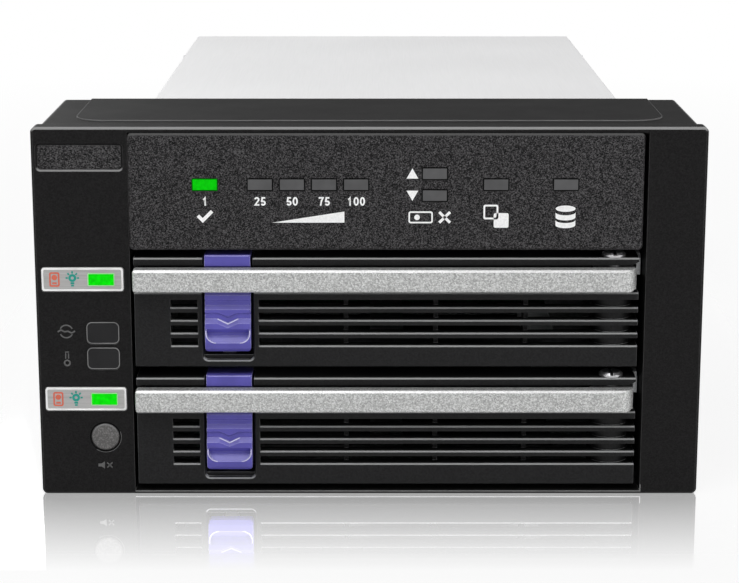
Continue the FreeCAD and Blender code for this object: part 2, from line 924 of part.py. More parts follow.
def make_lever(base):
    z0 = base + bar_floor
    z1 = base + bar_top
    bar = prism([
        V(bar_x0, bar_back, z0),
        V(bar_x0, bar_front + bar_low_chamfer, z0),
        V(bar_x0, bar_front, z0 + bar_low_chamfer),
        V(bar_x0, bar_front, z1 - bar_top_chamfer),
        V(bar_x0, bar_front + bar_top_chamfer, z1),
        V(bar_x0, bar_back, z1),
    ], V(bar_x1 - bar_x0, 0, 0))
    plan = plate_z(bar_x0, bar_x1, bar_front - pin_gap, bar_back + bar_end_radius, z0, z1,
                   (bar_end_radius, 0, 0, bar_left_radius))
    face = plate_y(bar_x0, bar_x1, bar_front, bar_back, z0, z1,
                   (bar_corner_radius, bar_left_radius, bar_left_radius, bar_left_radius))
    bar = bar.common(plan).common(face)
    # hollows along the back
    rib_end = pivot_x - eye_radius - bar_rib
    pitch = (rib_end - bar_x0 - bar_rib) / bar_ribs
    hollows = [box(bar_x0 + bar_rib + pitch * i, bar_x0 + pitch * (i + 1),
                   bar_back - bar_skin, bar_back + past,
                   z0 + bar_skin, z1 - bar_skin)
               for i in range(bar_ribs)]
    bar = cut(bar, hollows)
    inner_z0 = z0 + running_gap
    inner_z1 = z1 - running_gap
    web = box(pivot_x - eye_radius, pivot_x + eye_radius, bar_back - bar_skin / 2, pivot_depth,
              inner_z0, inner_z1)
    eye = rod_z(pivot_x, pivot_depth, inner_z0, inner_z1, eye_radius)
    catch = box(latch_x - catch_width / 2, latch_x + catch_width / 2,
                bar_back - bar_thickness / 2, catch_reach,
                z0 + catch_lift, z0 + catch_lift + catch_height)
    lever = fuse([bar, web, eye, catch])
    return [lever.cut(rod_z(pivot_x, pivot_depth, base, base + tray_height, hinge_pin_radius + pin_gap))]


def make_hinge_screw(base):
    top = base + tray_height
    seat = base + channel_floor - screw_thread_depth
    shank = rod_z(pivot_x, pivot_depth, seat, top, hinge_pin_radius)
    head = rod_z(pivot_x, pivot_depth, top, top + hinge_head_height, hinge_head_radius)
    rim = [e for e in head.Edges if e.BoundBox.ZMin > top + hinge_head_height - 1e-6]
    head = head.makeChamfer(hinge_head_height / 2, rim)
    # the driver's slot runs from front to back
    slot = box(pivot_x - hinge_slot_width / 2, pivot_x + hinge_slot_width / 2,
               pivot_depth - hinge_head_radius - past, pivot_depth + hinge_head_radius + past,
               top + hinge_head_height / 2, top + hinge_head_height + past)
    return [fuse([shank, head]).cut(slot)]


# Side profile of the latch's thumb pad, from its lower lip up over two stepped ridges: how far it
# stands in front of the tray, its height in hundredths of the pad's, and 1 where the middle of the
# edge is drawn down into the arrow's point.
pad_profile = [
    (0.55, 0, 0),
    (1.5, 6, 0),
    (1.9, 16, 0),
    (1.95, 42, 0),
    (1.95, 50, 1),
    (1.0, 57, 1),
    (0.95, 65, 1),
    (1.4, 68, 1),
    (1.4, 73, 0),
    (0.6, 79, 0),
    (0.55, 86, 0),
    (0.9, 89, 0),
    (0.9, 96, 0),
    (0.4, 100, 0),
]
# hollow for the thumb above the lower lip
scoop_profile = [(1.95, 17), (0.75, 27), (0.7, 32), (1.95, 41)]


def pad_z(base, hundredths):
    return base + latch_floor + pad_height * hundredths / 100


def pad_section(base, x, drop):
    points = [V(x, -proud, pad_z(base, z) - drop * drawn) for proud, z, drawn in pad_profile]
    points += [V(x, latch_stem_depth, pad_z(base, 100)), V(x, latch_stem_depth, pad_z(base, 0))]
    return Part.makePolygon(points + points[:1])


def make_latch(base):
    pad_top = pad_z(base, 100)
    deck_top = base + tray_height + latch_deck_rise
    sections = [
        pad_section(base, latch_x0, 0),
        pad_section(base, latch_x - arrow_half_width, 0),
        pad_section(base, latch_x, arrow_drop),
        pad_section(base, latch_x + arrow_half_width, 0),
        pad_section(base, latch_x1, 0),
    ]
    pad = Part.makeLoft(sections, True, True)
    pad = pad.common(plate_y(latch_x0, latch_x1, -bar_proud, latch_stem_depth + past,
                             pad_z(base, 0), pad_top + past,
                             (latch_corner_radius, 0, 0, latch_corner_radius)))
    scoop_floor = pad_z(base, scoop_profile[0][1])
    scoop_top = pad_z(base, scoop_profile[-1][1])
    scoop = prism([V(latch_x0, -bar_proud, scoop_floor)]
                  + [V(latch_x0, -proud, pad_z(base, z)) for proud, z in scoop_profile]
                  + [V(latch_x0, -bar_proud, scoop_top)], V(latch_width, 0, 0))
    scoop = scoop.common(plate_y(latch_x0 + scoop_edge, latch_x1 - scoop_edge, -bar_proud, latch_stem_depth,
                                 scoop_floor, scoop_top, (scoop_corner_radius, 0, 0, scoop_corner_radius)))
    pad = pad.cut(scoop)
    stem = box(latch_x0, latch_x1, 0, latch_stem_depth, pad_top - sheet, deck_top - latch_deck_thickness / 2)
    brow = box(latch_x0, latch_x1, -latch_brow_proud, latch_stem_depth,
               base + tray_height - top_slat_height, deck_top)
    deck = box(latch_x0, latch_x1, 0, latch_deck_depth, deck_top - latch_deck_thickness, deck_top)
    window = box(latch_x - catch_width / 2 - running_gap, latch_x + catch_width / 2 + running_gap,
                 -past, latch_stem_depth + past,
                 base + bar_floor + latch_window_low, base + bar_floor + latch_window_high)
    foot_z = base + pocket_floor + spring_length
    spring_foot = box(latch_x - latch_foot_width / 2, latch_x + latch_foot_width / 2,
                      latch_stem_depth - sheet / 2, pocket_depth - running_gap,
                      foot_z, foot_z + latch_foot_height)
    return [fuse([pad, stem, brow, deck, spring_foot]).cut(window)]


def make_latch_spring(base):
    """Leaf folded to and fro, between the pocket's floor and the latch's foot."""
    y = (latch_stem_depth + pocket_depth) / 2
    x = latch_x - spring_width / 2
    rise = (spring_length - spring_leaf) / spring_folds
    leaves = []
    for i in range(spring_folds):
        z = base + pocket_floor + rise * i
        way = spring_reach if i % 2 else -spring_reach
        leaves.append(prism([
            V(x, y + way, z),
            V(x, y - way, z + rise),
            V(x, y - way, z + rise + spring_leaf),
            V(x, y + way, z + spring_leaf),
        ], V(spring_width, 0, 0)))
    return [fuse(leaves)]


def make_carrier(base):
    z0 = base + carrier_lift
    y0 = boss_depth + boss_radius + running_gap
    y1 = drive_back - runner_lead
    floor = side_box(1, -carrier_half, carrier_half, y0, y1, z0, z0 + carrier_floor)
    hole_rows = [drive_back - bottom_hole_rear - bottom_hole_pitch, drive_back - bottom_hole_rear]
    spans = [
        (drive_front + window_margin, hole_rows[0] - window_margin),
        (hole_rows[0] + window_margin, hole_rows[1] - window_margin),
        (hole_rows[1] + window_margin, y1 - window_margin),
    ]
    tools = [side_box(side, window_spine, carrier_half - carrier_window_margin, a, b, z0 - past, z0 + past)
             for side in (-1, 1) for a, b in spans]
    tools += [rod_z(opening_middle + side * bottom_hole_span / 2, y, z0 - past, z0 + past, drive_hole_radius)
              for side in (-1, 1) for y in hole_rows]
    walls = []
    step = (y1 - y0) / notch_count
    for side in (-1, 1):
        walls.append(side_box(side, carrier_half - sheet, carrier_half, y0, y1, z0, z0 + carrier_wall_height))
        for i in range(notch_count):
            a = y0 + step * (i + 1) - notch_length - runner_lead
            tools.append(side_box(side, carrier_half - sheet - past, carrier_half + past, a, a + notch_length,
                                  z0 + carrier_rib_height, z0 + carrier_wall_height + past))
    reach = carrier_half + past
    tools.append(rod_x(opening_middle - reach, opening_middle + reach, tray_screw_y, base + tray_screw_height,
                       screw_radius + pin_gap))
    # bright flag beside the lever's hinge, on a short arm from the right-hand wall
    flag_x = tray_right + slide_gap
    flag_z = base + flag_floor
    arm = box(opening_middle + carrier_half - sheet, flag_x + sheet, y0, y0 + sheet,
              flag_z, z0 + carrier_wall_height)
    flag = prism([
        V(flag_x, flag_front, flag_z),
        V(flag_x, y0 + sheet, flag_z),
        V(flag_x, y0 + sheet, flag_z + flag_height),
        V(flag_x, flag_front + flag_bevel, flag_z + flag_height),
        V(flag_x, flag_front, flag_z + flag_height - flag_bevel),
    ], V(sheet, 0, 0))
    return [cut(fuse([floor, arm, flag] + walls), tools)]


def make_rails(base):
    """Runners beside the carrier, tapered at their rear ends to find the guides."""
    z = base + runner_middle
    h = runner_height / 2
    y0 = ear_reach + past
    y1 = drive_back - runner_lead
    rails = []
    for side in (-1, 1):
        face = opening_middle + side * carrier_half
        outer = opening_middle + side * (guide_face - running_gap)
        rails.append(prism([
            V(face, y0, z - h),
            V(face, y1 - runner_lead, z - h),
            V(face, y1, z - h + runner_lead / 2),
            V(face, y1, z + h - runner_lead / 2),
            V(face, y1 - runner_lead, z + h),
            V(face, y0, z + h),
        ], V(outer - face, 0, 0)))
    return rails


def make_tray_screws(base):
    return [screw(V(opening_middle + side * (carrier_half - sheet), tray_screw_y, base + tray_screw_height),
                  V(side, 0, 0), sheet_screw_length)
            for side in (-1, 1)]


# ------------------------------------------------------------------ cage

def lid_screws():
    z = lid_floor - lid_screw_drop
    return [(bezel_depth + lid_screw_inset, z), (fan_front - lid_screw_inset, z)]


def rear_screw():
    return fan_back - rear_flange_depth / 2, lid_floor - lid_flange - rear_flange_gap - rear_flange_height / 2


def guide_pegs():
    z = (tray_bases[0] + tray_bases[1]) / 2 + runner_middle
    span = backplane_front - ear_reach
    return [(ear_reach + span * (i + 1) / (peg_count + 1), z) for i in range(peg_count)]


def shelf_tongues():
    return [bezel_depth + tongue_inset, backplane_front - tongue_inset]


def make_cage_shell():
    outer = box(cage_left, cage_right, cage_front, body_length, body_bottom, lid_floor)
    bends = [e for e in outer.Edges if e.BoundBox.ZMax < body_bottom + 1e-6 and e.BoundBox.YLength > 1]
    outer = outer.makeFillet(bend_radius, bends)
    inner = box(opening_left, opening_right, cage_front - past, body_length + past,
                body_floor, lid_floor + past)
    shell = outer.cut(inner)
    wall_in = opening_half - past
    wall_out = opening_half + cage_sheet + past
    x0, x1 = cage_left - past, cage_right + past
    tools = [rod_x(x0, x1, y, z, screw_radius + pin_gap)
             for y, z in lid_screws() + [rear_screw()]]
    vent_floor = board_floor + vent_rise
    for side in (-1, 1):
        for i in range(vent_count):
            y = bezel_depth + vent_start + vent_pitch * i
            tools.append(side_box(side, wall_in, wall_out, y, y + vent_length,
                                  vent_floor, vent_floor + vent_height))
        reach = hook_width / 2 + slide_gap
        for z in hook_rows:
            tools.append(side_box(side, wall_in, wall_out,
                                  hook_window_start, hook_window_start + hook_window_length,
                                  z - reach, z + reach))
        reach = peg_size / 2 + pin_gap
        for y, z in guide_pegs():
            tools.append(side_box(side, wall_in, wall_out, y - reach, y + reach, z - reach, z + reach))
        reach = tongue_width / 2 + pin_gap
        for y in shelf_tongues():
            tools.append(side_box(side, wall_in, wall_out, y - reach, y + reach, shelf_height - pin_gap,
                                  shelf_top + pin_gap))
        # slots in the floor for the backplane's feet
        foot = opening_middle + side * backplane_foot_offset
        tools.append(box(foot - reach, foot + reach, backplane_front - pin_gap, backplane_back + pin_gap,
                         body_bottom - past, body_floor + past))
    return [cut(shell, tools)]


def make_cage_lid():
    top = box(cage_left, cage_right, cage_front, body_length, lid_floor, cage_top)
    edges = [e for e in top.Edges if e.BoundBox.ZMin > cage_top - 1e-6 and e.BoundBox.YLength > 1]
    top = top.makeChamfer(cage_sheet / 2, edges)
    face = opening_half - snug_gap
    flanges = [side_box(side, face - sheet, face, bezel_depth, fan_back - rear_flange_gap,
                        lid_floor - lid_flange, lid_floor)
               for side in (-1, 1)]
    holes = [rod_x(cage_left, cage_right, y, z, screw_radius) for y, z in lid_screws()]
    return [cut(fuse([top] + flanges), holes)]


def make_guide_wall(side):
    """Plate on the body's wall with a pair of ledges round each runner and pegs through the wall."""
    y0 = ear_reach + guide_setback
    y1 = backplane_front - guide_end_gap
    reach = runner_height / 2 + slide_gap + guide_ledge
    middles = [base + runner_middle for base in tray_bases]
    parts = [side_box(side, guide_face, opening_half, y0, y1, middles[0] - reach, middles[-1] + reach)]
    for z in middles:
        for inner in (z - reach, z + reach - guide_ledge):
            parts.append(side_box(side, guide_edge, guide_face, y0 + guide_lead, y1,
                                  inner, inner + guide_ledge))
    half = peg_size / 2
    parts += [side_box(side, opening_half, opening_half + cage_sheet, y - half, y + half, z - half, z + half)
              for y, z in guide_pegs()]
    return [fuse(parts)]


def bay_hole_rows():
    return [body_bottom + z for z in (bay_row_low, bay_row_high, bay_row_low + bay_unit)]


def make_bracket(side):
    """Folded side bracket: two feet welded on the body, two flanges and the web that meets the bay."""
    wall = cage_left if side < 0 else cage_right
    web_out = side * bay_width / 2
    web_in = web_out - side * cage_sheet
    foot_out = wall + side * cage_sheet
    z0 = body_bottom
    z1 = body_bottom + bracket_height
    low = z0 + bracket_foot
    high = z1 - bracket_foot
    t = cage_sheet
    bracket = prism([V(x, bracket_front, z) for x, z in (
        (wall, z0), (foot_out, z0), (foot_out, low), (web_out, low), (web_out, high), (foot_out, high),
        (foot_out, z1), (wall, z1), (wall, high - t), (web_in, high - t), (web_in, low + t), (wall, low + t),
    )], V(0, bracket_back - bracket_front, 0))
    bends = [e for e in bracket.Edges if e.BoundBox.YLength > 1 and abs(e.BoundBox.XMin - web_out) < 1e-6]
    bracket = bracket.makeFillet(bend_radius, bends)
    x0, x1 = min(web_in, web_out) - past, max(web_in, web_out) + past
    tools = [rod_x(x0, x1, y, z, bay_thread_radius) for y in bay_hole_columns for z in bay_hole_rows()]
    middle = (bracket_front + bracket_back) / 2
    for z in bay_hole_rows()[:2]:
        tools.append(box(min(web_in, web_out) - past, max(web_in, web_out) + past,
                         middle - bracket_window_length / 2, middle + bracket_window_length / 2,
                         z + bracket_window_rise, z + bracket_window_rise + bracket_window_height))
    return [cut(bracket, tools)]


def make_shelf():
    y0 = duct_depth + shelf_setback
    y1 = backplane_front - past
    face = opening_half - snug_gap
    plate = side_box(1, -face, face, y0, y1, shelf_height, shelf_top)
    parts = [plate]
    for side in (-1, 1):
        parts.append(side_box(side, face - sheet, face, y0, y1, shelf_height, shelf_top + shelf_flange))
        for y in shelf_tongues():
            parts.append(side_box(side, face - sheet, opening_half + cage_sheet,
                                  y - tongue_width / 2, y + tongue_width / 2,
                                  shelf_height, shelf_top))
    vents = []
    for i in range(shelf_vents):
        x = opening_middle + shelf_vent_pitch * (i - (shelf_vents - 1) / 2)
        vents.append(box(x - shelf_vent_width / 2, x + shelf_vent_width / 2, bezel_depth + vent_start,
                         backplane_front - shelf_vent_end, shelf_height - past, shelf_top + past))
    return [cut(fuse(parts), vents)]


def standoff_places():
    return [(opening_middle + side * (opening_half - standoff_inset), y)
            for side in (-1, 1) for y in (board_front + standoff_front, backplane_front - standoff_back)]


def make_standoffs():
    """Snap-in nylon supports: a square foot, and a neck with an arrow head above the board."""
    posts = []
    for x, y in standoff_places():
        foot = box(x - standoff_half, x + standoff_half, y - standoff_half, y + standoff_half,
                   shelf_top, board_floor)
        neck = box(x - peg_half, x + peg_half, y - peg_half, y + peg_half, board_floor, board_top + snug_gap)
        head = prism([
            V(x - standoff_half, y - peg_half, board_top + snug_gap),
            V(x + standoff_half, y - peg_half, board_top + snug_gap),
            V(x + snug_gap, y - peg_half, board_top + standoff_head),
            V(x - snug_gap, y - peg_half, board_top + standoff_head),
        ], V(0, 2 * peg_half, 0))
        posts.append(fuse([foot, neck, head]))
    return posts


def make_controller_board():
    x0 = opening_left + board_inset
    x1 = opening_right - board_inset
    board = box(x0, x1, board_front, fan_back - running_gap, board_floor, board_top)
    half = peg_half + pin_gap
    tools = [box(x - half, x + half, y - half, y + half, board_floor - past, board_top + past)
             for x, y in standoff_places()]
    # half of the cross joint with the backplane: slots left and right of the bridge
    for side in (-1, 1):
        tools.append(side_box(side, bridge_half, opening_half, backplane_front - snug_gap,
                              backplane_back + snug_gap, board_floor - past, board_top + past))
    return [cut(board, tools)]


def chip(x, y, width, depth, height):
    return box(x - width / 2, x + width / 2, y - depth / 2, y + depth / 2, board_top, board_top + height)


def make_controller_chips():
    side = opening_middle + memory_offset
    parts = [chip(opening_middle - processor_offset, processor_y, processor_size, processor_size,
                  processor_height)]
    for i in range(2):
        parts.append(chip(side, processor_y - memory_pitch / 2 + memory_pitch * i, memory_width,
                          memory_depth, memory_height))
    parts.append(chip(side + memory_width, processor_y + coil_offset, coil_size, coil_size, coil_height))
    for i in range(2):
        parts.append(rod_z(side + memory_width, processor_y - coil_offset + capacitor_pitch * i, board_top,
                           board_top + capacitor_height, capacitor_radius))
    return parts


def make_heat_sink():
    x = opening_middle - processor_offset
    half = processor_size / 2 + sheet
    floor = board_top + processor_height
    plate = box(x - half, x + half, processor_y - half, processor_y + half, floor, floor + sink_base)
    pitch = (2 * half - sheet) / (sink_fins - 1)
    fins = [box(x - half + pitch * i, x - half + pitch * i + sheet, processor_y - half, processor_y + half,
                floor + sink_base / 2, floor + sink_height) for i in range(sink_fins)]
    return [fuse([plate] + fins)]


def connector_x():
    return opening_middle + drive_width / 2 - connector_from_side


def make_backplane():
    face = opening_half - past
    board = side_box(1, -face, face, backplane_front, backplane_back, body_floor + running_gap,
                     lid_floor - lid_flange - past)
    feet = []
    for side in (-1, 1):
        foot = opening_middle + side * backplane_foot_offset
        feet.append(box(foot - tongue_width / 2, foot + tongue_width / 2, backplane_front, backplane_back,
                        body_bottom, body_floor + past))
    board = fuse([board] + feet)
    y0, y1 = backplane_front - past, backplane_back + past
    left = connector_x() - connector_width / 2 - window_spine
    right = connector_x() + connector_width / 2 + window_spine / 2
    tools = []
    for base in tray_bases:
        z0, z1 = base + air_window_floor, base + air_window_floor + air_window_height
        tools.append(box(opening_middle - face + window_spine, left, y0, y1, z0, z1))
        tools.append(box(right, opening_middle + face - window_spine, y0, y1, z0, z1))
    bridge = bridge_half + snug_gap
    tools.append(side_box(1, -bridge, bridge, y0, y1, board_floor - snug_gap, lid_floor))
    return [cut(board, tools)]


def make_drive_connector(base):
    """Receptacle for power and data: a body with two keyed slots and their tongues."""
    x = connector_x()
    z = base + carrier_lift + carrier_floor + connector_rise
    y0 = drive_back + running_gap
    half = connector_width / 2
    h = connector_height / 2
    body = box(x - half, x + half, y0, backplane_front, z - h, z + h)
    inner = slot_opening / 2
    floor = y0 + slot_depth
    edges = (
        (x - half + slot_edge, x - half + slot_edge + data_slot),
        (x + half - slot_edge - power_slot, x + half - slot_edge),
    )
    parts = [cut(body, [box(a, b, y0 - past, floor, z - inner, z + inner) for a, b in edges])]
    parts += [box(a + slot_edge / 2, b - slot_edge / 2, y0 + slide_gap, floor + slide_gap, z - slide_gap,
                  z + tongue_thickness - slide_gap) for a, b in edges]
    return [fuse(parts)]


# ------------------------------------------------------------------ rear

def grille_slots():
    """Rows of slots over the fan, as long as its circle allows, left and right of a web."""
    tools = []
    for i in range(grille_rows):
        height = grille_pitch * (i - (grille_rows - 1) / 2)
        reach = math.sqrt(grille_radius ** 2 - (abs(height) + grille_slot / 2) ** 2)
        z = fan_z + height
        for side in (-1, 1):
            near, far = fan_x + side * grille_web / 2, fan_x + side * reach
            tools.append(box(min(near, far), max(near, far), fan_back - past, body_length + past,
                             z - grille_slot / 2, z + grille_slot / 2))
    return tools


def fan_screw_places():
    return [(fan_x + sx * fan_hole_reach, fan_z + sz * fan_hole_reach) for sx in (-1, 1) for sz in (-1, 1)]


def inlet_outline(gap, y):
    """Inlet's outline with its two lower corners cut off, grown or shrunk by a gap."""
    half = inlet_width / 2 + gap
    z0 = board_top - gap
    z1 = board_top + inlet_height + gap
    k = inlet_key
    return [V(inlet_x + a, y, b) for a, b in (
        (half - k, z0), (half, z0 + k), (half, z1), (-half, z1), (-half, z0 + k), (-half + k, z0),
    )]


def make_rear_panel():
    face = opening_half - snug_gap
    panel = side_box(1, -face, face, fan_back, body_length, body_floor + snug_gap, lid_floor - snug_gap)
    y, z = rear_screw()
    h = rear_flange_height / 2
    flanges = [side_box(side, face - sheet, face, fan_back - rear_flange_depth, fan_back, z - h, z + h)
               for side in (-1, 1)]
    y0, y1 = fan_back - past, body_length + past
    tools = grille_slots()
    tools += [rod_y(x, y0, y1, row, screw_radius + slide_gap) for x, row in fan_screw_places()]
    w = port_width / 2 + slide_gap
    tools += [box(x - w, x + w, y0, y1, board_top - slide_gap, board_top + port_height + slide_gap)
              for x in port_xs]
    tools.append(prism(inlet_outline(slide_gap, y0), V(0, y1 - y0, 0)))
    left = fan_x + fan_size / 2 + rear_vent_margin
    for i in range(rear_vent_rows):
        row = body_floor + rear_vent_pitch * (i + 1)
        tools.append(box(left, opening_right - rear_vent_margin, y0, y1, row, row + rear_vent_height))
    tools.append(rod_x(cage_left, cage_right, y, z, screw_radius))
    return [cut(fuse([panel] + flanges), tools)]


def make_host_ports():
    ports = []
    w = port_width / 2
    middle = board_top + port_height / 2
    for x in port_xs:
        body = box(x - w, x + w, fan_back - port_depth, body_length + rear_proud / 2,
                   board_top, board_top + port_height)
        mouth = box(x - w + sheet, x + w - sheet, body_length - port_mouth, body_length + rear_proud,
                    middle - port_slot, middle + port_slot)
        tongue = box(x - w + port_slot, x + w - port_slot, body_length - port_mouth - snug_gap, body_length,
                     middle - tongue_thickness / 2, middle + tongue_thickness / 2)
        ports.append(fuse([body.cut(mouth), tongue]))
    return ports


def make_power_inlet():
    y0, y1 = fan_back - inlet_depth, body_length + rear_proud
    body = prism(inlet_outline(0, y0), V(0, y1 - y0, 0))
    floor = body_length - inlet_mouth
    mouth = prism(inlet_outline(-socket_wall, floor), V(0, y1 - floor + past, 0))
    z = board_top + inlet_height / 2
    half = inlet_pin / 2
    pins = []
    for i in range(4):
        x = inlet_x + inlet_pin_pitch * (i - 1.5)
        pins.append(box(x - half, x + half, floor - snug_gap, body_length, z - half, z + half))
    return [fuse([body.cut(mouth)] + pins)]


def make_fan_frame():
    half = fan_size / 2
    frame = plate_y(fan_x - half, fan_x + half, fan_front, fan_back, fan_z - half, fan_z + half, fan_rim)
    frame = frame.cut(rod_y(fan_x, fan_front - past, fan_back + past, fan_z, fan_bore / 2))
    motor_front = fan_back - motor_depth
    motor = rod_y(fan_x, motor_front, fan_back - running_gap, fan_z, hub_radius - past)
    struts = []
    for i in range(4):
        strut = box(hub_radius - 2 * past, fan_bore / 2 + fan_rim / 2, motor_front, fan_back - running_gap,
                    -strut_width / 2, strut_width / 2)
        strut.rotate(V(0, 0, 0), V(0, 1, 0), strut_turn + 90 * i)
        strut.translate(V(fan_x, 0, fan_z))
        struts.append(strut)
    spindle = rod_y(fan_x, fan_front + spindle_setback, motor_front + past, fan_z, spindle_radius)
    frame = fuse([frame, motor, spindle] + struts)
    return [cut(frame, [rod_y(x, fan_back - fan_screw_length, fan_back + past, z, screw_radius)
                        for x, z in fan_screw_places()])]


def make_fan_rotor():
    y0 = fan_front + rotor_setback
    y1 = fan_back - motor_depth - running_gap
    hub = rod_y(0, y0, y1, 0, hub_radius)
    hub = hub.makeChamfer(hub_chamfer, front_rim(hub, y0))
    half = blade_chord / 2
    tip = math.sqrt((fan_bore / 2 - blade_gap) ** 2 - half ** 2)
    blades = []
    for i in range(fan_blades):
        blade = box(hub_radius - past, tip, -blade_thickness / 2, blade_thickness / 2, -half, half)
        blade.rotate(V(0, 0, 0), V(1, 0, 0), 90 - blade_pitch)
        blade.translate(V(0, (y0 + y1) / 2, 0))
        blade.rotate(V(0, 0, 0), V(0, 1, 0), 360 / fan_blades * i)
        blades.append(blade)
    rotor = fuse([hub] + blades)
    rotor.translate(V(fan_x, 0, fan_z))
    bore = rod_y(fan_x, fan_front + spindle_setback - running_gap, fan_back, fan_z, spindle_radius + pin_gap)
    return [rotor.cut(bore)]


# ------------------------------------------------------------------ fasteners

def make_cage_screws():
    """Screws through the body's walls into the flanges of the lid and the rear panel."""
    screws = []
    for side in (-1, 1):
        inwards = V(-side, 0, 0)
        wall = opening_middle + side * (opening_half + cage_sheet)
        screws += [screw(V(wall, y, z), inwards, sheet_screw_length)
                   for y, z in lid_screws() + [rear_screw()]]
    return screws


def make_board_screws():
    length = board_thickness + small_screw_grip
    return [screw(V(x, led_board_front + board_thickness, z), V(0, -1, 0), length, small_screw_radius,
                  small_head_radius)
            for x, z in led_board_posts()]


def make_fan_screws():
    return [screw(V(x, body_length, z), V(0, -1, 0), fan_screw_length) for x, z in fan_screw_places()]


# ------------------------------------------------------------------ all nodes

def build():
    save("front_bezel", make_bezel())
    save("indicator_panel", make_indicator_panel())
    save("ok_lens", [lens(*ok_place)])
    save("rebuild_lenses", [lens(*place) for place in rebuild_places])
    save("fault_lenses", [lens(*place) for place in fault_places])
    save("led_board", make_led_board())
    save("badge_plate", make_badge())
    for name, z in zip(tray_names, status_z):
        save("status_plate_" + name, make_status_plate(z))
        save("status_lens_" + name, make_status_lens(z))
    save("alarm_windows", make_alarm_windows())
    save("mute_button", make_button())
    save("side_board", make_side_board())
    save("mute_switch", make_mute_switch())
    for name, base in zip(tray_names, tray_bases):
        save("tray_front_" + name, make_tray_front(base))
        save("lever_" + name, make_lever(base))
        save("hinge_screw_" + name, make_hinge_screw(base))
        save("latch_" + name, make_latch(base))
        save("latch_spring_" + name, make_latch_spring(base))
        save("tray_carrier_" + name, make_carrier(base))
        save("tray_rails_" + name, make_rails(base))
        save("tray_screws_" + name, make_tray_screws(base))
        save("drive_connector_" + name, make_drive_connector(base))
    save("cage_shell", make_cage_shell())
    save("cage_lid", make_cage_lid())
    for name, side in (("left", -1), ("right", 1)):
        save("guide_wall_" + name, make_guide_wall(side))
        save("bay_bracket_" + name, make_bracket(side))
    save("controller_shelf", make_shelf())
    save("board_standoffs", make_standoffs())
    save("controller_board", make_controller_board())
    save("controller_chips", make_controller_chips())
    save("heat_sink", make_heat_sink())
    save("backplane", make_backplane())
    save("rear_panel", make_rear_panel())
    save("host_ports", make_host_ports())
    save("power_inlet", make_power_inlet())
    save("fan_frame", make_fan_frame())
    save("fan_rotor", make_fan_rotor())
    save("fan_screws", make_fan_screws())
    save("cage_screws", make_cage_screws())
    save("board_screws", make_board_screws())


build()
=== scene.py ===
import json
import math

import bpy
import bmesh
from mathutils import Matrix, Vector


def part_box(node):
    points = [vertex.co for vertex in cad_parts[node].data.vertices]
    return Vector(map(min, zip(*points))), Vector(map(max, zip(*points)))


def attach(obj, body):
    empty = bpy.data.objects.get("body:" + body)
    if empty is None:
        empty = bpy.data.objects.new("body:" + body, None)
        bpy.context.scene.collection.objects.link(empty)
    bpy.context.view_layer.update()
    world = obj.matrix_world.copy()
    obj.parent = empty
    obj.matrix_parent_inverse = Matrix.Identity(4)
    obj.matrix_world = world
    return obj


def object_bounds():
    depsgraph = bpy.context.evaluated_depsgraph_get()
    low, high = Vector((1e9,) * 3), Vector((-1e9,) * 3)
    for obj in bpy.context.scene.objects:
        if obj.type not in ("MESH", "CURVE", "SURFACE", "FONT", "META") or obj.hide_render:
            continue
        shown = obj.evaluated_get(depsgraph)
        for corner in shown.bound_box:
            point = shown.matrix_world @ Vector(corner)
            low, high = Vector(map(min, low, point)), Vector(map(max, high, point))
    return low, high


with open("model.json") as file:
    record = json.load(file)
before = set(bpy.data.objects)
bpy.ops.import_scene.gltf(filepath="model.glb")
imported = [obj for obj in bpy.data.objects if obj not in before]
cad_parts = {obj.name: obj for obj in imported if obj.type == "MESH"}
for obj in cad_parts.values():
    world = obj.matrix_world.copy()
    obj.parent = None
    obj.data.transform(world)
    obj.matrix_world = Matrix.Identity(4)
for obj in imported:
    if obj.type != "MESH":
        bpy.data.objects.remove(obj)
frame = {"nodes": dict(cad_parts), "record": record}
cad_lo, cad_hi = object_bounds()
nodes = frame["nodes"]

# ------------------------------------------------------------------ sizes, metres

MM = 0.001
bezel_lo, bezel_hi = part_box("front_bezel")
panel_lo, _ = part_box("indicator_panel")
shell_lo, shell_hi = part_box("cage_shell")
FRONT = bezel_lo.y
PANEL_FRONT = panel_lo.y
GROUND = cad_lo.z

# thickness of printed marks and of the rims round windows
PRINT_THICKNESS = 0.06 * MM
RIM_THICKNESS = 0.12 * MM
ALARM_RIM_THICKNESS = 0.10 * MM

CAMERA_AHEAD = 0.4506
CAMERA_HEIGHT = 0.1573
CAMERA_PITCH = math.radians(12.6)
CAMERA_LENS = 101.3
CAMERA_SHIFT = -0.054

# ------------------------------------------------------------------ materials

# colour sockets of Blender's Mix node
MIX_FIRST, MIX_SECOND, MIX_RESULT = 6, 7, 2

# cosine of the turn between face and rounded edge, where the painted edge highlight starts and where it is
# full
HIGHLIGHT_TURN = (0.985, 0.86)
# Z of the rounded normal: slopes that face up enough, slopes that are level already, and undersides
RISING_SLOPES = (0.12, 0.5)
LEVEL_SLOPES = (0.90, 0.99)
UNDERSIDES = (-0.5, -0.1)

BEVEL_SAMPLES = 6
FINE_RELIEF = 0.01 * MM
BRUSHED_RELIEF = 0.015 * MM
TRACK_RELIEF = 0.02 * MM
GRAIN_RELIEF = 0.02 * MM
MOTTLE_SIZE = 12 * MM
FLAKE_SIZE = 0.25 * MM
BRUSH_LINE = 0.35 * MM
BRUSH_STRETCH = 0.02
SHEEN_SIZE = 30 * MM
CLOUD_SIZE = 1.1 * MM
TINT_SIZE = 4 * MM
PEEL_SIZE = 0.7 * MM
TRACK_SIZE = 3.2 * MM
COVER_SIZE = 0.4 * MM


def shade(colour, factor):
    """Colour made darker or paler by a factor, held at white."""
    return tuple(min(1.0, channel * factor) for channel in colour)


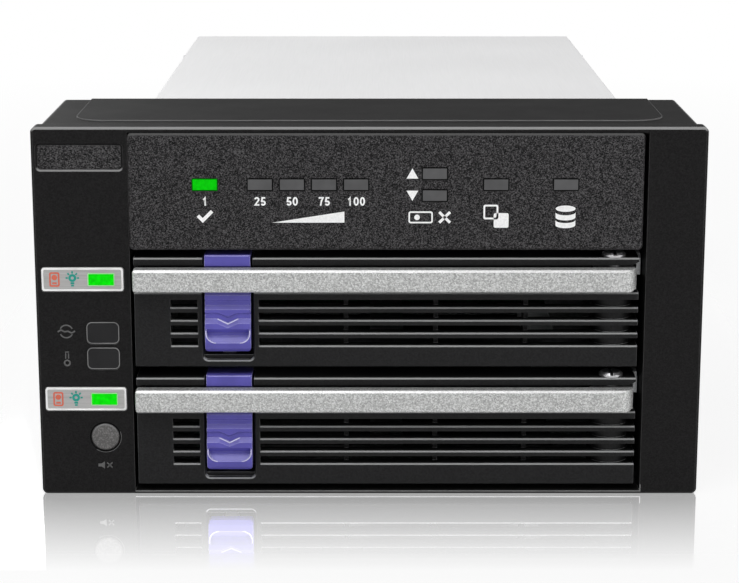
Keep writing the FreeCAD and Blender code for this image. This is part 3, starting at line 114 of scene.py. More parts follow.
def new_material(name, base, roughness, metallic=0.0, specular=0.5):
    """Material with one Principled shader; its constant values sit on the shader's sockets."""
    material = bpy.data.materials.new(name)
    material.use_nodes = True
    shader = material.node_tree.nodes["Principled BSDF"]
    shader.inputs["Base Color"].default_value = (*base, 1.0)
    shader.inputs["Roughness"].default_value = roughness
    shader.inputs["Metallic"].default_value = metallic
    shader.inputs["Specular IOR Level"].default_value = specular
    return material, shader


def object_coordinates(material, stretch=(1.0, 1.0, 1.0)):
    """Coordinates in metres, stretched along an axis for brushed surfaces."""
    tree = material.node_tree
    place = tree.nodes.new("ShaderNodeTexCoord")
    mapping = tree.nodes.new("ShaderNodeMapping")
    mapping.inputs["Scale"].default_value = stretch
    tree.links.new(place.outputs["Object"], mapping.inputs["Vector"])
    return mapping.outputs["Vector"]


def noise(material, vector, size, detail=2.0, roughness=0.5):
    node = material.node_tree.nodes.new("ShaderNodeTexNoise")
    node.inputs["Scale"].default_value = 1.0 / size
    node.inputs["Detail"].default_value = detail
    node.inputs["Roughness"].default_value = roughness
    material.node_tree.links.new(vector, node.inputs["Vector"])
    return node.outputs["Fac"]


def cells(material, vector, size, output):
    node = material.node_tree.nodes.new("ShaderNodeTexVoronoi")
    node.inputs["Scale"].default_value = 1.0 / size
    material.node_tree.links.new(vector, node.inputs["Vector"])
    return node.outputs[output]


def random_cells(material, vector, size):
    """Three independent random values per tiny cell."""
    split = material.node_tree.nodes.new("ShaderNodeSeparateColor")
    colour = cells(material, vector, size, "Color")
    material.node_tree.links.new(colour, split.inputs["Color"])
    return split.outputs["Red"], split.outputs["Green"], split.outputs["Blue"]


def ramp(material, value, stops):
    """Colour ramp; stops are (place, colour) pairs."""
    node = material.node_tree.nodes.new("ShaderNodeValToRGB")
    elements = node.color_ramp.elements
    while len(elements) < len(stops):
        elements.new(0.5)
    for element, (place, colour) in zip(elements, stops):
        element.position = place
        element.color = (*colour, 1.0)
    material.node_tree.links.new(value, node.inputs["Fac"])
    return node.outputs["Color"]


def ranged(tree, value, low, high, start=0.0, end=1.0):
    """Maps low..high to start..end and holds the ends."""
    node = tree.nodes.new("ShaderNodeMapRange")
    node.inputs["From Min"].default_value = low
    node.inputs["From Max"].default_value = high
    node.inputs["To Min"].default_value = start
    node.inputs["To Max"].default_value = end
    tree.links.new(value, node.inputs["Value"])
    return node.outputs["Result"]


def vary_roughness(material, shader, value, low, high):
    """Roughness that follows a texture's value from low to high."""
    result = ranged(material.node_tree, value, 0.0, 1.0, low, high)
    material.node_tree.links.new(result, shader.inputs["Roughness"])


def math_node(tree, operation, first, second=0.0):
    node = tree.nodes.new("ShaderNodeMath")
    node.operation = operation
    for socket, value in zip(node.inputs, (first, second)):
        if isinstance(value, (int, float)):
            socket.default_value = value
        else:
            tree.links.new(value, socket)
    return node.outputs["Value"]


def blend(tree, factor, colour, constant):
    """Goes from a colour socket to a constant colour with the factor."""
    mix = tree.nodes.new("ShaderNodeMix")
    mix.data_type = "RGBA"
    tree.links.new(factor, mix.inputs["Factor"])
    tree.links.new(colour, mix.inputs[MIX_FIRST])
    mix.inputs[MIX_SECOND].default_value = (*constant, 1.0)
    return mix.outputs[MIX_RESULT]


def mix_shaders(tree, factor, first, second):
    mix = tree.nodes.new("ShaderNodeMixShader")
    tree.links.new(factor, mix.inputs["Fac"])
    tree.links.new(first, mix.inputs[1])
    tree.links.new(second, mix.inputs[2])
    return mix.outputs["Shader"]


def soft_edges(material, radius):
    """Normal that rounds every sharp edge over a small radius."""
    bevel = material.node_tree.nodes.new("ShaderNodeBevel")
    bevel.samples = BEVEL_SAMPLES
    bevel.inputs["Radius"].default_value = radius
    return bevel.outputs["Normal"]


def bump(material, shader, height, distance, strength, normal=None):
    """Relief of a height in metres, laid over a given normal."""
    tree = material.node_tree
    node = tree.nodes.new("ShaderNodeBump")
    node.inputs["Distance"].default_value = distance
    node.inputs["Strength"].default_value = strength
    tree.links.new(height, node.inputs["Height"])
    if normal is not None:
        tree.links.new(normal, node.inputs["Normal"])
    tree.links.new(node.outputs["Normal"], shader.inputs["Normal"])


def painted_edge_highlight(material, rounded, colour, highlight_colour, slopes=1.0, sides=0.35):
    """Painted highlight: a paler line on every edge that slants upward, where light from above would catch
    it, and a fainter one on the other edges.
    """
    tree = material.node_tree
    surface = tree.nodes.new("ShaderNodeNewGeometry")
    turn = tree.nodes.new("ShaderNodeVectorMath")
    turn.operation = "DOT_PRODUCT"
    tree.links.new(rounded, turn.inputs[0])
    tree.links.new(surface.outputs["Normal"], turn.inputs[1])
    line = ranged(tree, turn.outputs["Value"], *HIGHLIGHT_TURN, 0.0, sides)
    split = tree.nodes.new("ShaderNodeSeparateXYZ")
    tree.links.new(rounded, split.inputs["Vector"])
    rising = ranged(tree, split.outputs["Z"], *RISING_SLOPES)
    level = ranged(tree, split.outputs["Z"], *LEVEL_SLOPES, 1.0, 0.0)
    slanted = math_node(tree, "MULTIPLY", math_node(tree, "MULTIPLY", rising, level), slopes)
    hanging = ranged(tree, split.outputs["Z"], *UNDERSIDES)
    amount = math_node(tree, "MAXIMUM", slanted, math_node(tree, "MULTIPLY", line, hanging))
    return blend(tree, amount, colour, highlight_colour)


def black_plastic(name, base, roughness, specular=0.12, edge=0.22 * MM, highlight_colour=(0.20, 0.20, 0.20)):
    """Satin moulded plastic: fine grain, a slow mottle in its gloss, soft edges and a painted highlight on
    the edges that face up.
    """
    material, shader = new_material(name, base, roughness, specular=specular)
    vector = object_coordinates(material)
    mottle = noise(material, vector, MOTTLE_SIZE, detail=3.0)
    dots, pits, _ = random_cells(material, vector, 0.26 * MM)
    vary_roughness(material, shader, mottle, roughness - 0.05, roughness + 0.06)
    tone = ramp(material, dots, [(0.0, shade(base, 0.72)), (1.0, shade(base, 1.28))])
    rounded = soft_edges(material, edge)
    colour = painted_edge_highlight(material, rounded, tone, highlight_colour)
    material.node_tree.links.new(colour, shader.inputs["Base Color"])
    bump(material, shader, pits, FINE_RELIEF, 0.3, rounded)
    return material


def grained_plastic(name, base, size, low=0.05, high=3.0, edge=0.3 * MM, highlight_colour=None):
    """Spark-eroded texture: tiny facets, some pale and some dark."""
    roughness = 0.7
    material, shader = new_material(name, base, roughness, specular=0.12)
    vector = object_coordinates(material)
    dots, gloss, pits = random_cells(material, vector, size)
    tone = ramp(material, dots, [
        (0.0, shade(base, low)),
        (0.5, shade(base, 0.75)),
        (1.0, shade(base, high)),
    ])
    rounded = soft_edges(material, edge)
    # painted highlight on the edges that face up
    colour = painted_edge_highlight(material, rounded, tone, highlight_colour or shade(base, 3.0))
    material.node_tree.links.new(colour, shader.inputs["Base Color"])
    vary_roughness(material, shader, gloss, roughness - 0.12, roughness + 0.14)
    bump(material, shader, pits, GRAIN_RELIEF, 0.4, rounded)
    return material


def sparkle_metal(name, base, roughness):
    """Silver paint with coarse metal flakes and a painted white highlight on its edges and upward slopes.
    """
    material, shader = new_material(name, base, roughness, metallic=0.6)
    vector = object_coordinates(material)
    dots, gloss, pits = random_cells(material, vector, FLAKE_SIZE)
    tone = ramp(material, dots, [(0.0, shade(base, 0.62)), (0.55, base), (1.0, shade(base, 1.4))])
    rounded = soft_edges(material, 0.35 * MM)
    colour = painted_edge_highlight(material, rounded, tone, (1.0, 1.0, 1.0), slopes=0.55)
    material.node_tree.links.new(colour, shader.inputs["Base Color"])
    vary_roughness(material, shader, gloss, roughness - 0.12, roughness + 0.15)
    bump(material, shader, pits, FINE_RELIEF, 0.25, rounded)
    return material


def brushed_metal(name, base, roughness, along, metallic=0.9, contrast=0.18, edge=0.2 * MM):
    """Sheet with fine lines drawn along one axis ('X', 'Y' or 'Z')."""
    material, shader = new_material(name, base, roughness, metallic=metallic)
    stretch = [1.0, 1.0, 1.0]
    stretch["XYZ".index(along)] = BRUSH_STRETCH
    vector = object_coordinates(material, tuple(stretch))
    lines = noise(material, vector, BRUSH_LINE, detail=4.0, roughness=0.65)
    sheen = noise(material, object_coordinates(material), SHEEN_SIZE)
    tone = ramp(material, lines, [
        (0.3, shade(base, 1 - contrast)),
        (0.7, shade(base, 1 + contrast * 0.6)),
    ])
    material.node_tree.links.new(tone, shader.inputs["Base Color"])
    vary_roughness(material, shader, sheen, roughness - 0.06, roughness + 0.08)
    bump(material, shader, lines, BRUSHED_RELIEF, 0.25, soft_edges(material, edge))
    return material


def light_window(name, glow):
    """Light pipe: a bright core that falls off a little through small clouds in the plastic."""
    material, shader = new_material(name, (0.0, 0.02, 0.0), 0.3, specular=0.05)
    cloud = noise(material, object_coordinates(material), CLOUD_SIZE)
    tone = ramp(material, cloud, [(0.25, shade(glow, 0.72)), (0.75, shade(glow, 1.1))])
    material.node_tree.links.new(tone, shader.inputs["Emission Color"])
    shader.inputs["Emission Strength"].default_value = 1.0
    return material


def smooth_plastic(name, base, roughness, specular=0.3, edge=0.2 * MM, tint=0.12, coat=0.0, highlight_colour=None):
    """Unpainted smooth plastic with a slow tint and a slight orange-peel."""
    material, shader = new_material(name, base, roughness, specular=specular)
    shader.inputs["Coat Weight"].default_value = coat
    shader.inputs["Coat Roughness"].default_value = 0.12
    vector = object_coordinates(material)
    slow = noise(material, vector, TINT_SIZE)
    peel = noise(material, vector, PEEL_SIZE, detail=1.0)
    tone = ramp(material, slow, [(0.3, shade(base, 1 - tint)), (0.7, shade(base, 1 + tint))])
    rounded = soft_edges(material, edge)
    # painted highlight on the edges, when its colour is given
    if highlight_colour:
        tone = painted_edge_highlight(material, rounded, tone, highlight_colour, slopes=0.08, sides=1.0)
    material.node_tree.links.new(tone, shader.inputs["Base Color"])
    bump(material, shader, peel, FINE_RELIEF, 0.3, rounded)
    return material


def circuit_board(name):
    """Green solder mask with faint tracks under it."""
    mask = (0.012, 0.12, 0.05)
    material, shader = new_material(name, mask, 0.35, specular=0.3)
    tracks = cells(material, object_coordinates(material), TRACK_SIZE, "Distance")
    tone = ramp(material, tracks, [
        (0.0, (0.010, 0.10, 0.042)),
        (0.42, mask),
        (0.5, (0.03, 0.20, 0.09)),
        (0.58, mask),
    ])
    material.node_tree.links.new(tone, shader.inputs["Base Color"])
    bump(material, shader, tracks, TRACK_RELIEF, 0.4)
    return material


def print_ink(name, base):
    """Screen-printed ink: flat, with slightly uneven cover."""
    material, shader = new_material(name, base, 0.6, specular=0.1)
    cover = noise(material, object_coordinates(material), COVER_SIZE)
    tone = ramp(material, cover, [(0.3, shade(base, 0.86)), (0.7, base)])
    material.node_tree.links.new(tone, shader.inputs["Base Color"])
    return material


def body_sheet(name):
    """Pale painted sheet metal of the body."""
    return brushed_metal(name, (0.82, 0.82, 0.825), 0.5, "Y", metallic=0.1, contrast=0.03)


def shaded_inside(name, inner, low, high):
    """Body sheet, pale outside, with painted shade that makes it dark inside the box that it encloses."""
    material = body_sheet(name)
    tree = material.node_tree
    base_colour = tree.nodes["Principled BSDF"].inputs["Base Color"]
    split = tree.nodes.new("ShaderNodeSeparateXYZ")
    tree.links.new(object_coordinates(material), split.inputs["Vector"])
    inside = 1.0
    for axis, start, end in (("X", low.x, high.x), ("Z", low.z, high.z)):
        above = math_node(tree, "GREATER_THAN", split.outputs[axis], start)
        below = math_node(tree, "LESS_THAN", split.outputs[axis], end)
        inside = math_node(tree, "MULTIPLY", inside, math_node(tree, "MULTIPLY", above, below))
    tree.links.new(blend(tree, inside, base_colour.links[0].from_socket, inner), base_colour)
    return material


# the colours given for the edges are those of each material's painted edge highlight
looks = {
    "bezel_black": black_plastic("bezel_black", (0.0135, 0.0132, 0.0134), 0.45, specular=0.05,
                                 highlight_colour=(0.25, 0.25, 0.25)),
    "panel_grain": grained_plastic("panel_grain", (0.030, 0.029, 0.030), 0.20 * MM, high=3.6, edge=0.6 * MM,
                                   highlight_colour=(0.085, 0.085, 0.085)),
    "tray_black": black_plastic("tray_black", (0.0140, 0.0140, 0.0145), 0.40, highlight_colour=(0.30, 0.305, 0.305)),
    "lever_silver": sparkle_metal("lever_silver", (0.53, 0.535, 0.53), 0.42),
    "latch_purple": smooth_plastic("latch_purple", (0.098, 0.085, 0.41), 0.36, specular=0.25,
                                   edge=0.14 * MM, tint=0.08, coat=0.15, highlight_colour=(0.78, 0.76, 1.0)),
    "lens_green": light_window("lens_green", (0.001, 0.60, 0.002)),
    "lens_dark": smooth_plastic("lens_dark", (0.095, 0.095, 0.097), 0.4, specular=0.15),
    "alarm_dark": smooth_plastic("alarm_dark", (0.018, 0.018, 0.019), 0.3, specular=0.12),
    "status_silver": brushed_metal("status_silver", (0.46, 0.455, 0.45), 0.42, "X", metallic=0.6),
    "badge_grain": grained_plastic("badge_grain", (0.036, 0.035, 0.036), 0.24 * MM,
                                   highlight_colour=(0.10, 0.10, 0.10)),
    "button_grey": grained_plastic("button_grey", (0.150, 0.146, 0.144), 0.26 * MM, low=0.7, high=1.35,
                                   highlight_colour=(0.20, 0.20, 0.20)),
    "body_steel": body_sheet("body_steel"),
    "inner_steel": brushed_metal("inner_steel", (0.50, 0.51, 0.52), 0.38, "Y", metallic=0.8, contrast=0.12),
    "screw_zinc": brushed_metal("screw_zinc", (0.55, 0.55, 0.56), 0.30, "Z", contrast=0.10),
    "spring_steel": brushed_metal("spring_steel", (0.5, 0.5, 0.51), 0.3, "Z", contrast=0.1, edge=0.1 * MM),
    "guide_black": black_plastic("guide_black", (0.016, 0.016, 0.017), 0.5),
    "board_green": circuit_board("board_green"),
    "chip_black": grained_plastic("chip_black", (0.02, 0.02, 0.022), 0.3 * MM, low=0.7, high=1.4),
    "sink_aluminium": brushed_metal("sink_aluminium", (0.50, 0.51, 0.53), 0.4, "Y"),
    "socket_black": black_plastic("socket_black", (0.014, 0.014, 0.015), 0.45),
    "socket_white": smooth_plastic("socket_white", (0.66, 0.65, 0.60), 0.45),
    "fan_black": black_plastic("fan_black", (0.012, 0.012, 0.013), 0.42),
}

# painted shade: the cage shell's sheet turns near black inside its outer skin
SHELL_SKIN = Vector((0.6 * MM, 0.0, 0.6 * MM))
SHELL_SHADE = (0.030, 0.030, 0.031)
shell_steel_painted_shade = shaded_inside("shell_steel_painted_shade", SHELL_SHADE, shell_lo + SHELL_SKIN, shell_hi - SHELL_SKIN)
plate_green = light_window("plate_green", (0.001, 0.80, 0.002))
ink_white = print_ink("ink_white", (0.97, 0.97, 0.97))
ink_salmon = print_ink("ink_salmon", (0.72, 0.17, 0.11))
ink_teal = print_ink("ink_teal", (0.03, 0.34, 0.28))
glint_bright = smooth_plastic("glint_bright", (0.74, 0.72, 1.0), 0.3, tint=0.06)
glint_soft = smooth_plastic("glint_soft", (0.30, 0.28, 0.74), 0.3, tint=0.06)
rim_pale = smooth_plastic("rim_pale", (0.90, 0.90, 0.89), 0.4)
rim_green = smooth_plastic("rim_green", (0.42, 0.80, 0.40), 0.4)
rim_grey = smooth_plastic("rim_grey", (0.22, 0.22, 0.22), 0.45, specular=0.1)
rim_black = smooth_plastic("rim_black", (0.004, 0.004, 0.004), 0.5, specular=0.05)
mark_grey = smooth_plastic("mark_grey", (0.12, 0.12, 0.12), 0.5, specular=0.1)
rim_deep_green = smooth_plastic("rim_deep_green", (0.002, 0.10, 0.004), 0.5, specular=0.05)

# ------------------------------------------------------------------ dress the frame's nodes

slot_of = {entry["node"]: entry["material_slot"] for entry in frame["record"]["subparts"]}
SHARP_ANGLE = math.radians(32)


def dress(name):
    """One material, and smooth faces between sharp edges."""
    node = nodes[name]
    node.data.materials.clear()
    node.data.materials.append(looks[slot_of[name]])
    for polygon in node.data.polygons:
        polygon.material_index = 0
        polygon.use_smooth = True
    node.data.set_sharp_from_angle(angle=SHARP_ANGLE)


for node_name in nodes:
    dress(node_name)
for node_name in ("status_lens_lower", "status_lens_upper"):
    nodes[node_name].data.materials[0] = plate_green
nodes["cage_shell"].data.materials[0] = shell_steel_painted_shade

# ------------------------------------------------------------------ outlines of marks, millimetres

# a mitred corner reaches out no further than half the width divided by this
MITRE_LIMIT = 0.55


def ribbon(points, width):
    """One closed loop round a bent stroke, with its corners mitred."""
    near, far = [], []
    for i, (x, y) in enumerate(points):
        directions = []
        for start, end in ((i - 1, i), (i, i + 1)):
            if start < 0 or end >= len(points):
                continue
            dx, dy = points[end][0] - points[start][0], points[end][1] - points[start][1]
            length = math.hypot(dx, dy)
            directions.append((dx / length, dy / length))
        mx = sum(d[0] for d in directions)
        my = sum(d[1] for d in directions)
        length = math.hypot(mx, my)
        nx, ny = -my / length, mx / length
        along = abs(-directions[0][1] * nx + directions[0][0] * ny)
        reach = width / 2 / max(along, MITRE_LIMIT)
        near.append((x + nx * reach, y + ny * reach))
        far.append((x - nx * reach, y - ny * reach))
    return near + far[::-1]


def arc_points(radius, start, end, count=10, cx=0.0, cy=0.0):
    """Points along an arc between two angles in degrees."""
    points = []
    for i in range(count + 1):
        angle = math.radians(start + (end - start) * i / count)
        points.append((cx + radius * math.cos(angle), cy + radius * math.sin(angle)))
    return points


def arc_loop(radius, width, start, end, count=16):
    """Curved stroke between two angles in degrees."""
    outer = arc_points(radius + width / 2, start, end, count)
    inner = arc_points(radius - width / 2, start, end, count)
    return outer + inner[::-1]


def ring_loop(radius, count=32, cx=0.0, cy=0.0, sx=1.0, sy=1.0):
    """Circle or, with unequal sx and sy, an upright or lying oval."""
    loop = []
    for i in range(count):
        angle = 2 * math.pi * i / count
        loop.append((cx + radius * sx * math.cos(angle), cy + radius * sy * math.sin(angle)))
    return loop


def round_box(width, height, radius, cx=0.0, cy=0.0):
    """Rectangle with rounded corners."""
    loop = []
    for sx, sy, start in ((1, 1, 0), (-1, 1, 90), (-1, -1, 180), (1, -1, 270)):
        x = cx + sx * (width / 2 - radius)
        y = cy + sy * (height / 2 - radius)
        loop += arc_points(radius, start, start + 90, 5, x, y)
    return loop


def bar_loop(x0, y0, x1, y1, width):
    """Straight stroke from one point to another."""
    dx, dy = x1 - x0, y1 - y0
    length = math.hypot(dx, dy)
    nx, ny = -dy / length * width / 2, dx / length * width / 2
    return [(x0 + nx, y0 + ny), (x1 + nx, y1 + ny), (x1 - nx, y1 - ny), (x0 - nx, y0 - ny)]


# strokes of the digits, as shares of their height
DIGIT_WIDTH = 0.60
DIGIT_GAP = 0.11
STROKE = 0.19
DIGITS = {
    "1": [(0.10, 0.70), (0.24, 0.78), (0.33, 0.93), (0.33, 0.0)],
    "2": arc_points(0.205, 170, -30, cx=0.30, cy=0.70) + [(0.11, 0.095), (0.58, 0.095)],
    "5": [(0.54, 0.905), (0.20, 0.905), (0.13, 0.50)] + arc_points(0.205, 115, -160, cx=0.30, cy=0.30),
    "7": [(0.04, 0.905), (0.53, 0.905), (0.36, 0.56), (0.25, 0.0)],
}
# half height and half width of the zero's outer and inner oval
ZERO_OVALS = ((0.5, 0.30), (0.5 - STROKE, 0.30 - STROKE))


def number_loops(text, height):
    """Plain number made of its own strokes, centred on the origin."""
    loops = []
    step = (DIGIT_WIDTH + DIGIT_GAP) * height
    start = -(step * len(text) - DIGIT_GAP * height) / 2
    for i, digit in enumerate(text):
        shift = start + step * i
        if digit == "0":
            middle = shift + DIGIT_WIDTH * height / 2
            loops += [ring_loop(tall * height, cx=middle, sx=wide / tall) for tall, wide in ZERO_OVALS]
        else:
            line = [(shift + a * height, (b - 0.5) * height) for a, b in DIGITS[digit]]
            loops.append(ribbon(line, STROKE * height))
    return loops


# ------------------------------------------------------------------ pieces from outlines


def finish_piece(piece, material, body):
    """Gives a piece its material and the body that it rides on."""
    piece.data.materials.clear()
    piece.data.materials.append(material)
    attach(piece, body)
    return piece


def new_object(name, data):
    """Object for a mesh, curve, lamp or camera, linked to the scene."""
    made = bpy.data.objects.new(name, data)
    bpy.context.scene.collection.objects.link(made)
    return made


def filled(name, loops, thickness):
    """Flat X-Y piece of closed loops in millimetres; a loop inside another is a hole."""
    curve = bpy.data.curves.new(name, "CURVE")
    curve.dimensions = "2D"
    curve.fill_mode = "BOTH"
    curve.extrude = thickness / 2
    for loop in loops:
        spline = curve.splines.new("POLY")
        spline.points.add(len(loop) - 1)
        for point, (a, b) in zip(spline.points, loop):
            point.co = (a * MM, b * MM, 0.0, 1.0)
        spline.use_cyclic_u = True
    holder = new_object(name + "_curve", curve)
    bpy.context.view_layer.update()
    evaluated = holder.evaluated_get(bpy.context.evaluated_depsgraph_get())
    mesh = bpy.data.meshes.new_from_object(evaluated)
    bpy.data.objects.remove(holder)
    mesh.name = name
    return new_object(name, mesh)


def marks(name, loops, x, y, z, material, body="cage", slot="lens_dark", thickness=PRINT_THICKNESS):
    """Flat mark that stands on a face looking to the front, with its origin at (x, y, z)."""
    piece = filled(name, loops, thickness)
    for vertex in piece.data.vertices:
        vertex.co = Vector((x + vertex.co.x, y - vertex.co.z, z + vertex.co.y))
    return finish_piece(piece, material, body)


# ------------------------------------------------------------------ indicator panel

PRINT_Y = PANEL_FRONT - 0.02 * MM
LENS_ROW = panel_lo.z + 14.8 * MM
SMALL_ROW = LENS_ROW - 3.75 * MM
LARGE_ROW = LENS_ROW - 7.35 * MM
PANEL_LEFT = panel_lo.x - 0.1 * MM
OK_X = PANEL_LEFT + 17.0 * MM
REBUILD_X = [PANEL_LEFT + (29.15 + 7.07 * i) * MM for i in range(4)]
FAIL_X = PANEL_LEFT + 67.7 * MM
FAULT_X = [PANEL_LEFT + 81.2 * MM, PANEL_LEFT + 96.6 * MM]
FAIL_OFFSET = 2.45 * MM
NUMBER_HEIGHT = 1.95
WINDOW = (5.3, 2.35)

for text, x in zip(("25", "50", "75", "100", "1"), REBUILD_X + [OK_X]):
    marks(f"number_{text}", number_loops(text, NUMBER_HEIGHT), x, PRINT_Y, SMALL_ROW, ink_white)

# tick under the first light
marks("tick_mark", [[(-1.9, 0.1), (-1.35, 0.65), (-0.55, -0.15), (1.25, 1.65), (1.8, 1.1), (-0.55, -1.25)]],
      OK_X, PRINT_Y, LARGE_ROW, ink_white)

# rising wedge under the row of four
marks("rising_wedge", [[(-8.0, -1.2), (8.0, -1.2), (8.0, 1.3)]],
      (REBUILD_X[0] + REBUILD_X[3]) / 2, PRINT_Y, LARGE_ROW, ink_white)

# triangles beside the pair of lights
for name, sign in (("triangle_up", 1), ("triangle_down", -1)):
    marks(name, [[(-1.3, -1.1 * sign), (1.3, -1.1 * sign), (0, 1.2 * sign)]],
          FAIL_X - 4.95 * MM, PRINT_Y, LENS_ROW + sign * FAIL_OFFSET, ink_white)

# drive with a cross
marks("drive_mark", [
    round_box(5.4, 2.7, 0.5, cx=-1.9),
    round_box(4.7, 2.0, 0.25, cx=-1.9),
    ring_loop(0.62, cx=-2.7),
    bar_loop(2.2, -1.2, 4.6, 1.2, 0.62),
], FAIL_X - 1.2 * MM, PRINT_Y, LARGE_ROW, ink_white)
marks("cross_stroke", [bar_loop(2.2, 1.2, 4.6, -1.2, 0.62)],
      FAIL_X - 1.2 * MM, PRINT_Y, LARGE_ROW, ink_white)

# two overlapping squares
marks("double_mark", [round_box(3.3, 3.3, 0.4, cx=-1.1, cy=0.9), round_box(2.5, 2.5, 0.2, cx=-1.1, cy=0.9)],
      FAULT_X[0], PRINT_Y, LARGE_ROW + 0.3 * MM, ink_white)
marks("double_mark_front", [round_box(3.3, 3.3, 0.4, cx=1.2, cy=-1.0)],
      FAULT_X[0], PRINT_Y, LARGE_ROW + 0.3 * MM, ink_white)

# drum in three layers
DRUM_RADIUS = 2.2
DRUM_BULGE = 0.7
DRUM_BAND = 1.15
marks("drum_top", [ring_loop(DRUM_RADIUS, sy=0.32, cy=1.75)],
      FAULT_X[1], PRINT_Y, LARGE_ROW + 0.2 * MM, ink_white)
for i in range(2):
    rise = 0.95 - 1.75 * i
    angles = [math.radians(a) for a in range(180, 361, 15)]
    upper = [(DRUM_RADIUS * math.cos(a), rise + DRUM_BULGE * math.sin(a)) for a in angles]
    lower = [(x, y - DRUM_BAND) for x, y in reversed(upper)]
    marks(f"drum_band_{i}", [upper + lower], FAULT_X[1], PRINT_Y, LARGE_ROW + 0.2 * MM, ink_white)

# fine frames round the windows
places = [(x, LENS_ROW, rim_black) for x in REBUILD_X]
places += [(FAIL_X, LENS_ROW + side * FAIL_OFFSET, rim_black) for side in (1, -1)]
places += [(x, LENS_ROW, rim_black) for x in FAULT_X]
places += [(OK_X, LENS_ROW, rim_deep_green)]
for i, (x, z, rim) in enumerate(places):
    marks(f"window_rim_{i}", [
        round_box(WINDOW[0] + 0.5, WINDOW[1] + 0.5, 0.3),
        round_box(WINDOW[0] - 0.1, WINDOW[1] - 0.1, 0.1),
    ], x, PANEL_FRONT - 0.06 * MM, z, rim, thickness=RIM_THICKNESS)

# ------------------------------------------------------------------ left column

LAMP_RISE = 0.35


def lamp_loops():
    """Activity sign: a lamp with five rays and its socket."""
    loops = [
        ring_loop(0.88, cy=LAMP_RISE),
        ring_loop(0.36, cy=LAMP_RISE),
        round_box(0.85, 0.42, 0.1, cy=-0.85),
        round_box(0.65, 0.34, 0.1, cy=-1.4),
    ]
    for angle in (0, 45, 90, 135, 180):
        across = math.cos(math.radians(angle))
        up = math.sin(math.radians(angle))
        root = (1.02 * across, LAMP_RISE + 1.02 * up)
        tip = (1.5 * across, LAMP_RISE + 1.55 * up)
        loops.append(bar_loop(*root, *tip, 0.36))
    return loops


def mark_status_plate(tray):
    """Rim, drive sign, lamp sign and the window's rim on one status plate."""
    lo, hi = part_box("status_plate_" + tray)
    lens_lo, lens_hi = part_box("status_lens_" + tray)
    width, height = (hi.x - lo.x) / MM, (hi.z - lo.z) / MM
    y = lo.y - 0.03 * MM
    z = (lo.z + hi.z) / 2
    marks("status_rim_" + tray, [
        round_box(width - 0.2, height - 0.2, 0.6),
        round_box(width - 1.1, height - 1.1, 0.35),
    ], (lo.x + hi.x) / 2, y, z, rim_pale, slot="status_silver")
    marks("drive_sign_" + tray, [
        round_box(2.3, 3.3, 0.45),
        round_box(1.6, 2.6, 0.2),
        ring_loop(0.62, cy=0.45),
        bar_loop(-0.5, -0.85, 0.5, -0.85, 0.4),
    ], lo.x + 2.95 * MM, y, z, ink_salmon, slot="status_silver")
    marks("activity_sign_" + tray, lamp_loops(), lo.x + 6.95 * MM, y, z, ink_teal, slot="status_silver")
    marks("lens_rim_" + tray, [round_box(6.1, 3.0, 0.35), round_box(5.6, 2.5, 0.15)],
          (lens_lo.x + lens_hi.x) / 2, y - 0.06 * MM, z, rim_green, slot="status_silver",
          thickness=RIM_THICKNESS)


for tray in ("lower", "upper"):
    mark_status_plate(tray)

alarm_lo, alarm_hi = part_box("alarm_windows")
ALARM_ROWS = (alarm_lo.z + 2.8 * MM, alarm_lo.z + 8.7 * MM)
SIGN_X = alarm_lo.x - 4.1 * MM
SIGN_Y = FRONT - 0.04 * MM
for name, z in zip(("alarm_rim_lower", "alarm_rim_upper"), ALARM_ROWS):
    marks(name, [round_box(7.3, 5.0, 1.2), round_box(6.9, 4.6, 1.0)],
          (alarm_lo.x + alarm_hi.x) / 2, FRONT - 0.16 * MM, z, rim_grey, slot="alarm_dark",
          thickness=ALARM_RIM_THICKNESS)

# fan with a blade between two arcs; the grey of this and the thermometer sign is a painted highlight on
# embossed signs
marks("fan_sign", [
    arc_loop(1.45, 0.32, 25, 155),
    arc_loop(1.45, 0.32, 205, 335),
    ribbon([(-1.95, -0.1), (-1.2, 0.35), (-0.4, -0.05), (0.4, 0.05), (1.2, -0.35), (1.95, 0.1)], 0.36),
], SIGN_X, SIGN_Y, ALARM_ROWS[1] + 0.3 * MM, mark_grey, slot="bezel_black")
marks("thermometer_sign", [
    ring_loop(0.80, cy=-1.2),
    ring_loop(0.42, cy=-1.2),
    round_box(0.30, 1.3, 0.12, cx=-0.32, cy=0.42),
    round_box(0.30, 1.3, 0.12, cx=0.32, cy=0.42),
    round_box(0.94, 0.30, 0.12, cy=1.32),
], SIGN_X, SIGN_Y, ALARM_ROWS[0] + 0.1 * MM, mark_grey, slot="bezel_black")

# painted shade ring and painted glint arc round the mute button, and the loudspeaker under it
button_lo, button_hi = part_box("mute_button")
button_x = (button_lo.x + button_hi.x) / 2
button_z = (button_lo.z + button_hi.z) / 2
marks("button_shade", [ring_loop(3.50, 48), ring_loop(3.22, 48)],
      button_x, SIGN_Y, button_z, rim_black, slot="bezel_black")
marks("button_glint", [arc_loop(3.60, 0.16, -125, 20, 32)],
      button_x, SIGN_Y, button_z, mark_grey, slot="bezel_black")
speaker = (button_x - 0.3 * MM, SIGN_Y, button_z - 6.7 * MM)
marks("speaker_sign", [[
    (-1.5, -0.35), (-0.8, -0.35), (0.0, -0.85), (0.0, 0.85), (-0.8, 0.35), (-1.5, 0.35),
]], *speaker, mark_grey, slot="bezel_black")
for i, side in enumerate((1, -1)):
    marks(f"speaker_cross_{i}", [bar_loop(0.5, -0.6 * side, 1.7, 0.6 * side, 0.3)],
          *speaker, mark_grey, slot="bezel_black")

# ------------------------------------------------------------------ painted highlight lines on the latches

# places of the latch's faces
PAD_FACE = FRONT - 1.93 * MM
RIDGE_FACE = FRONT - 1.15 * MM
ARROW_FACE = FRONT - 1.45 * MM
BROW_FACE = FRONT - 0.53 * MM
SCOOP_FLOOR = 6.05 * MM
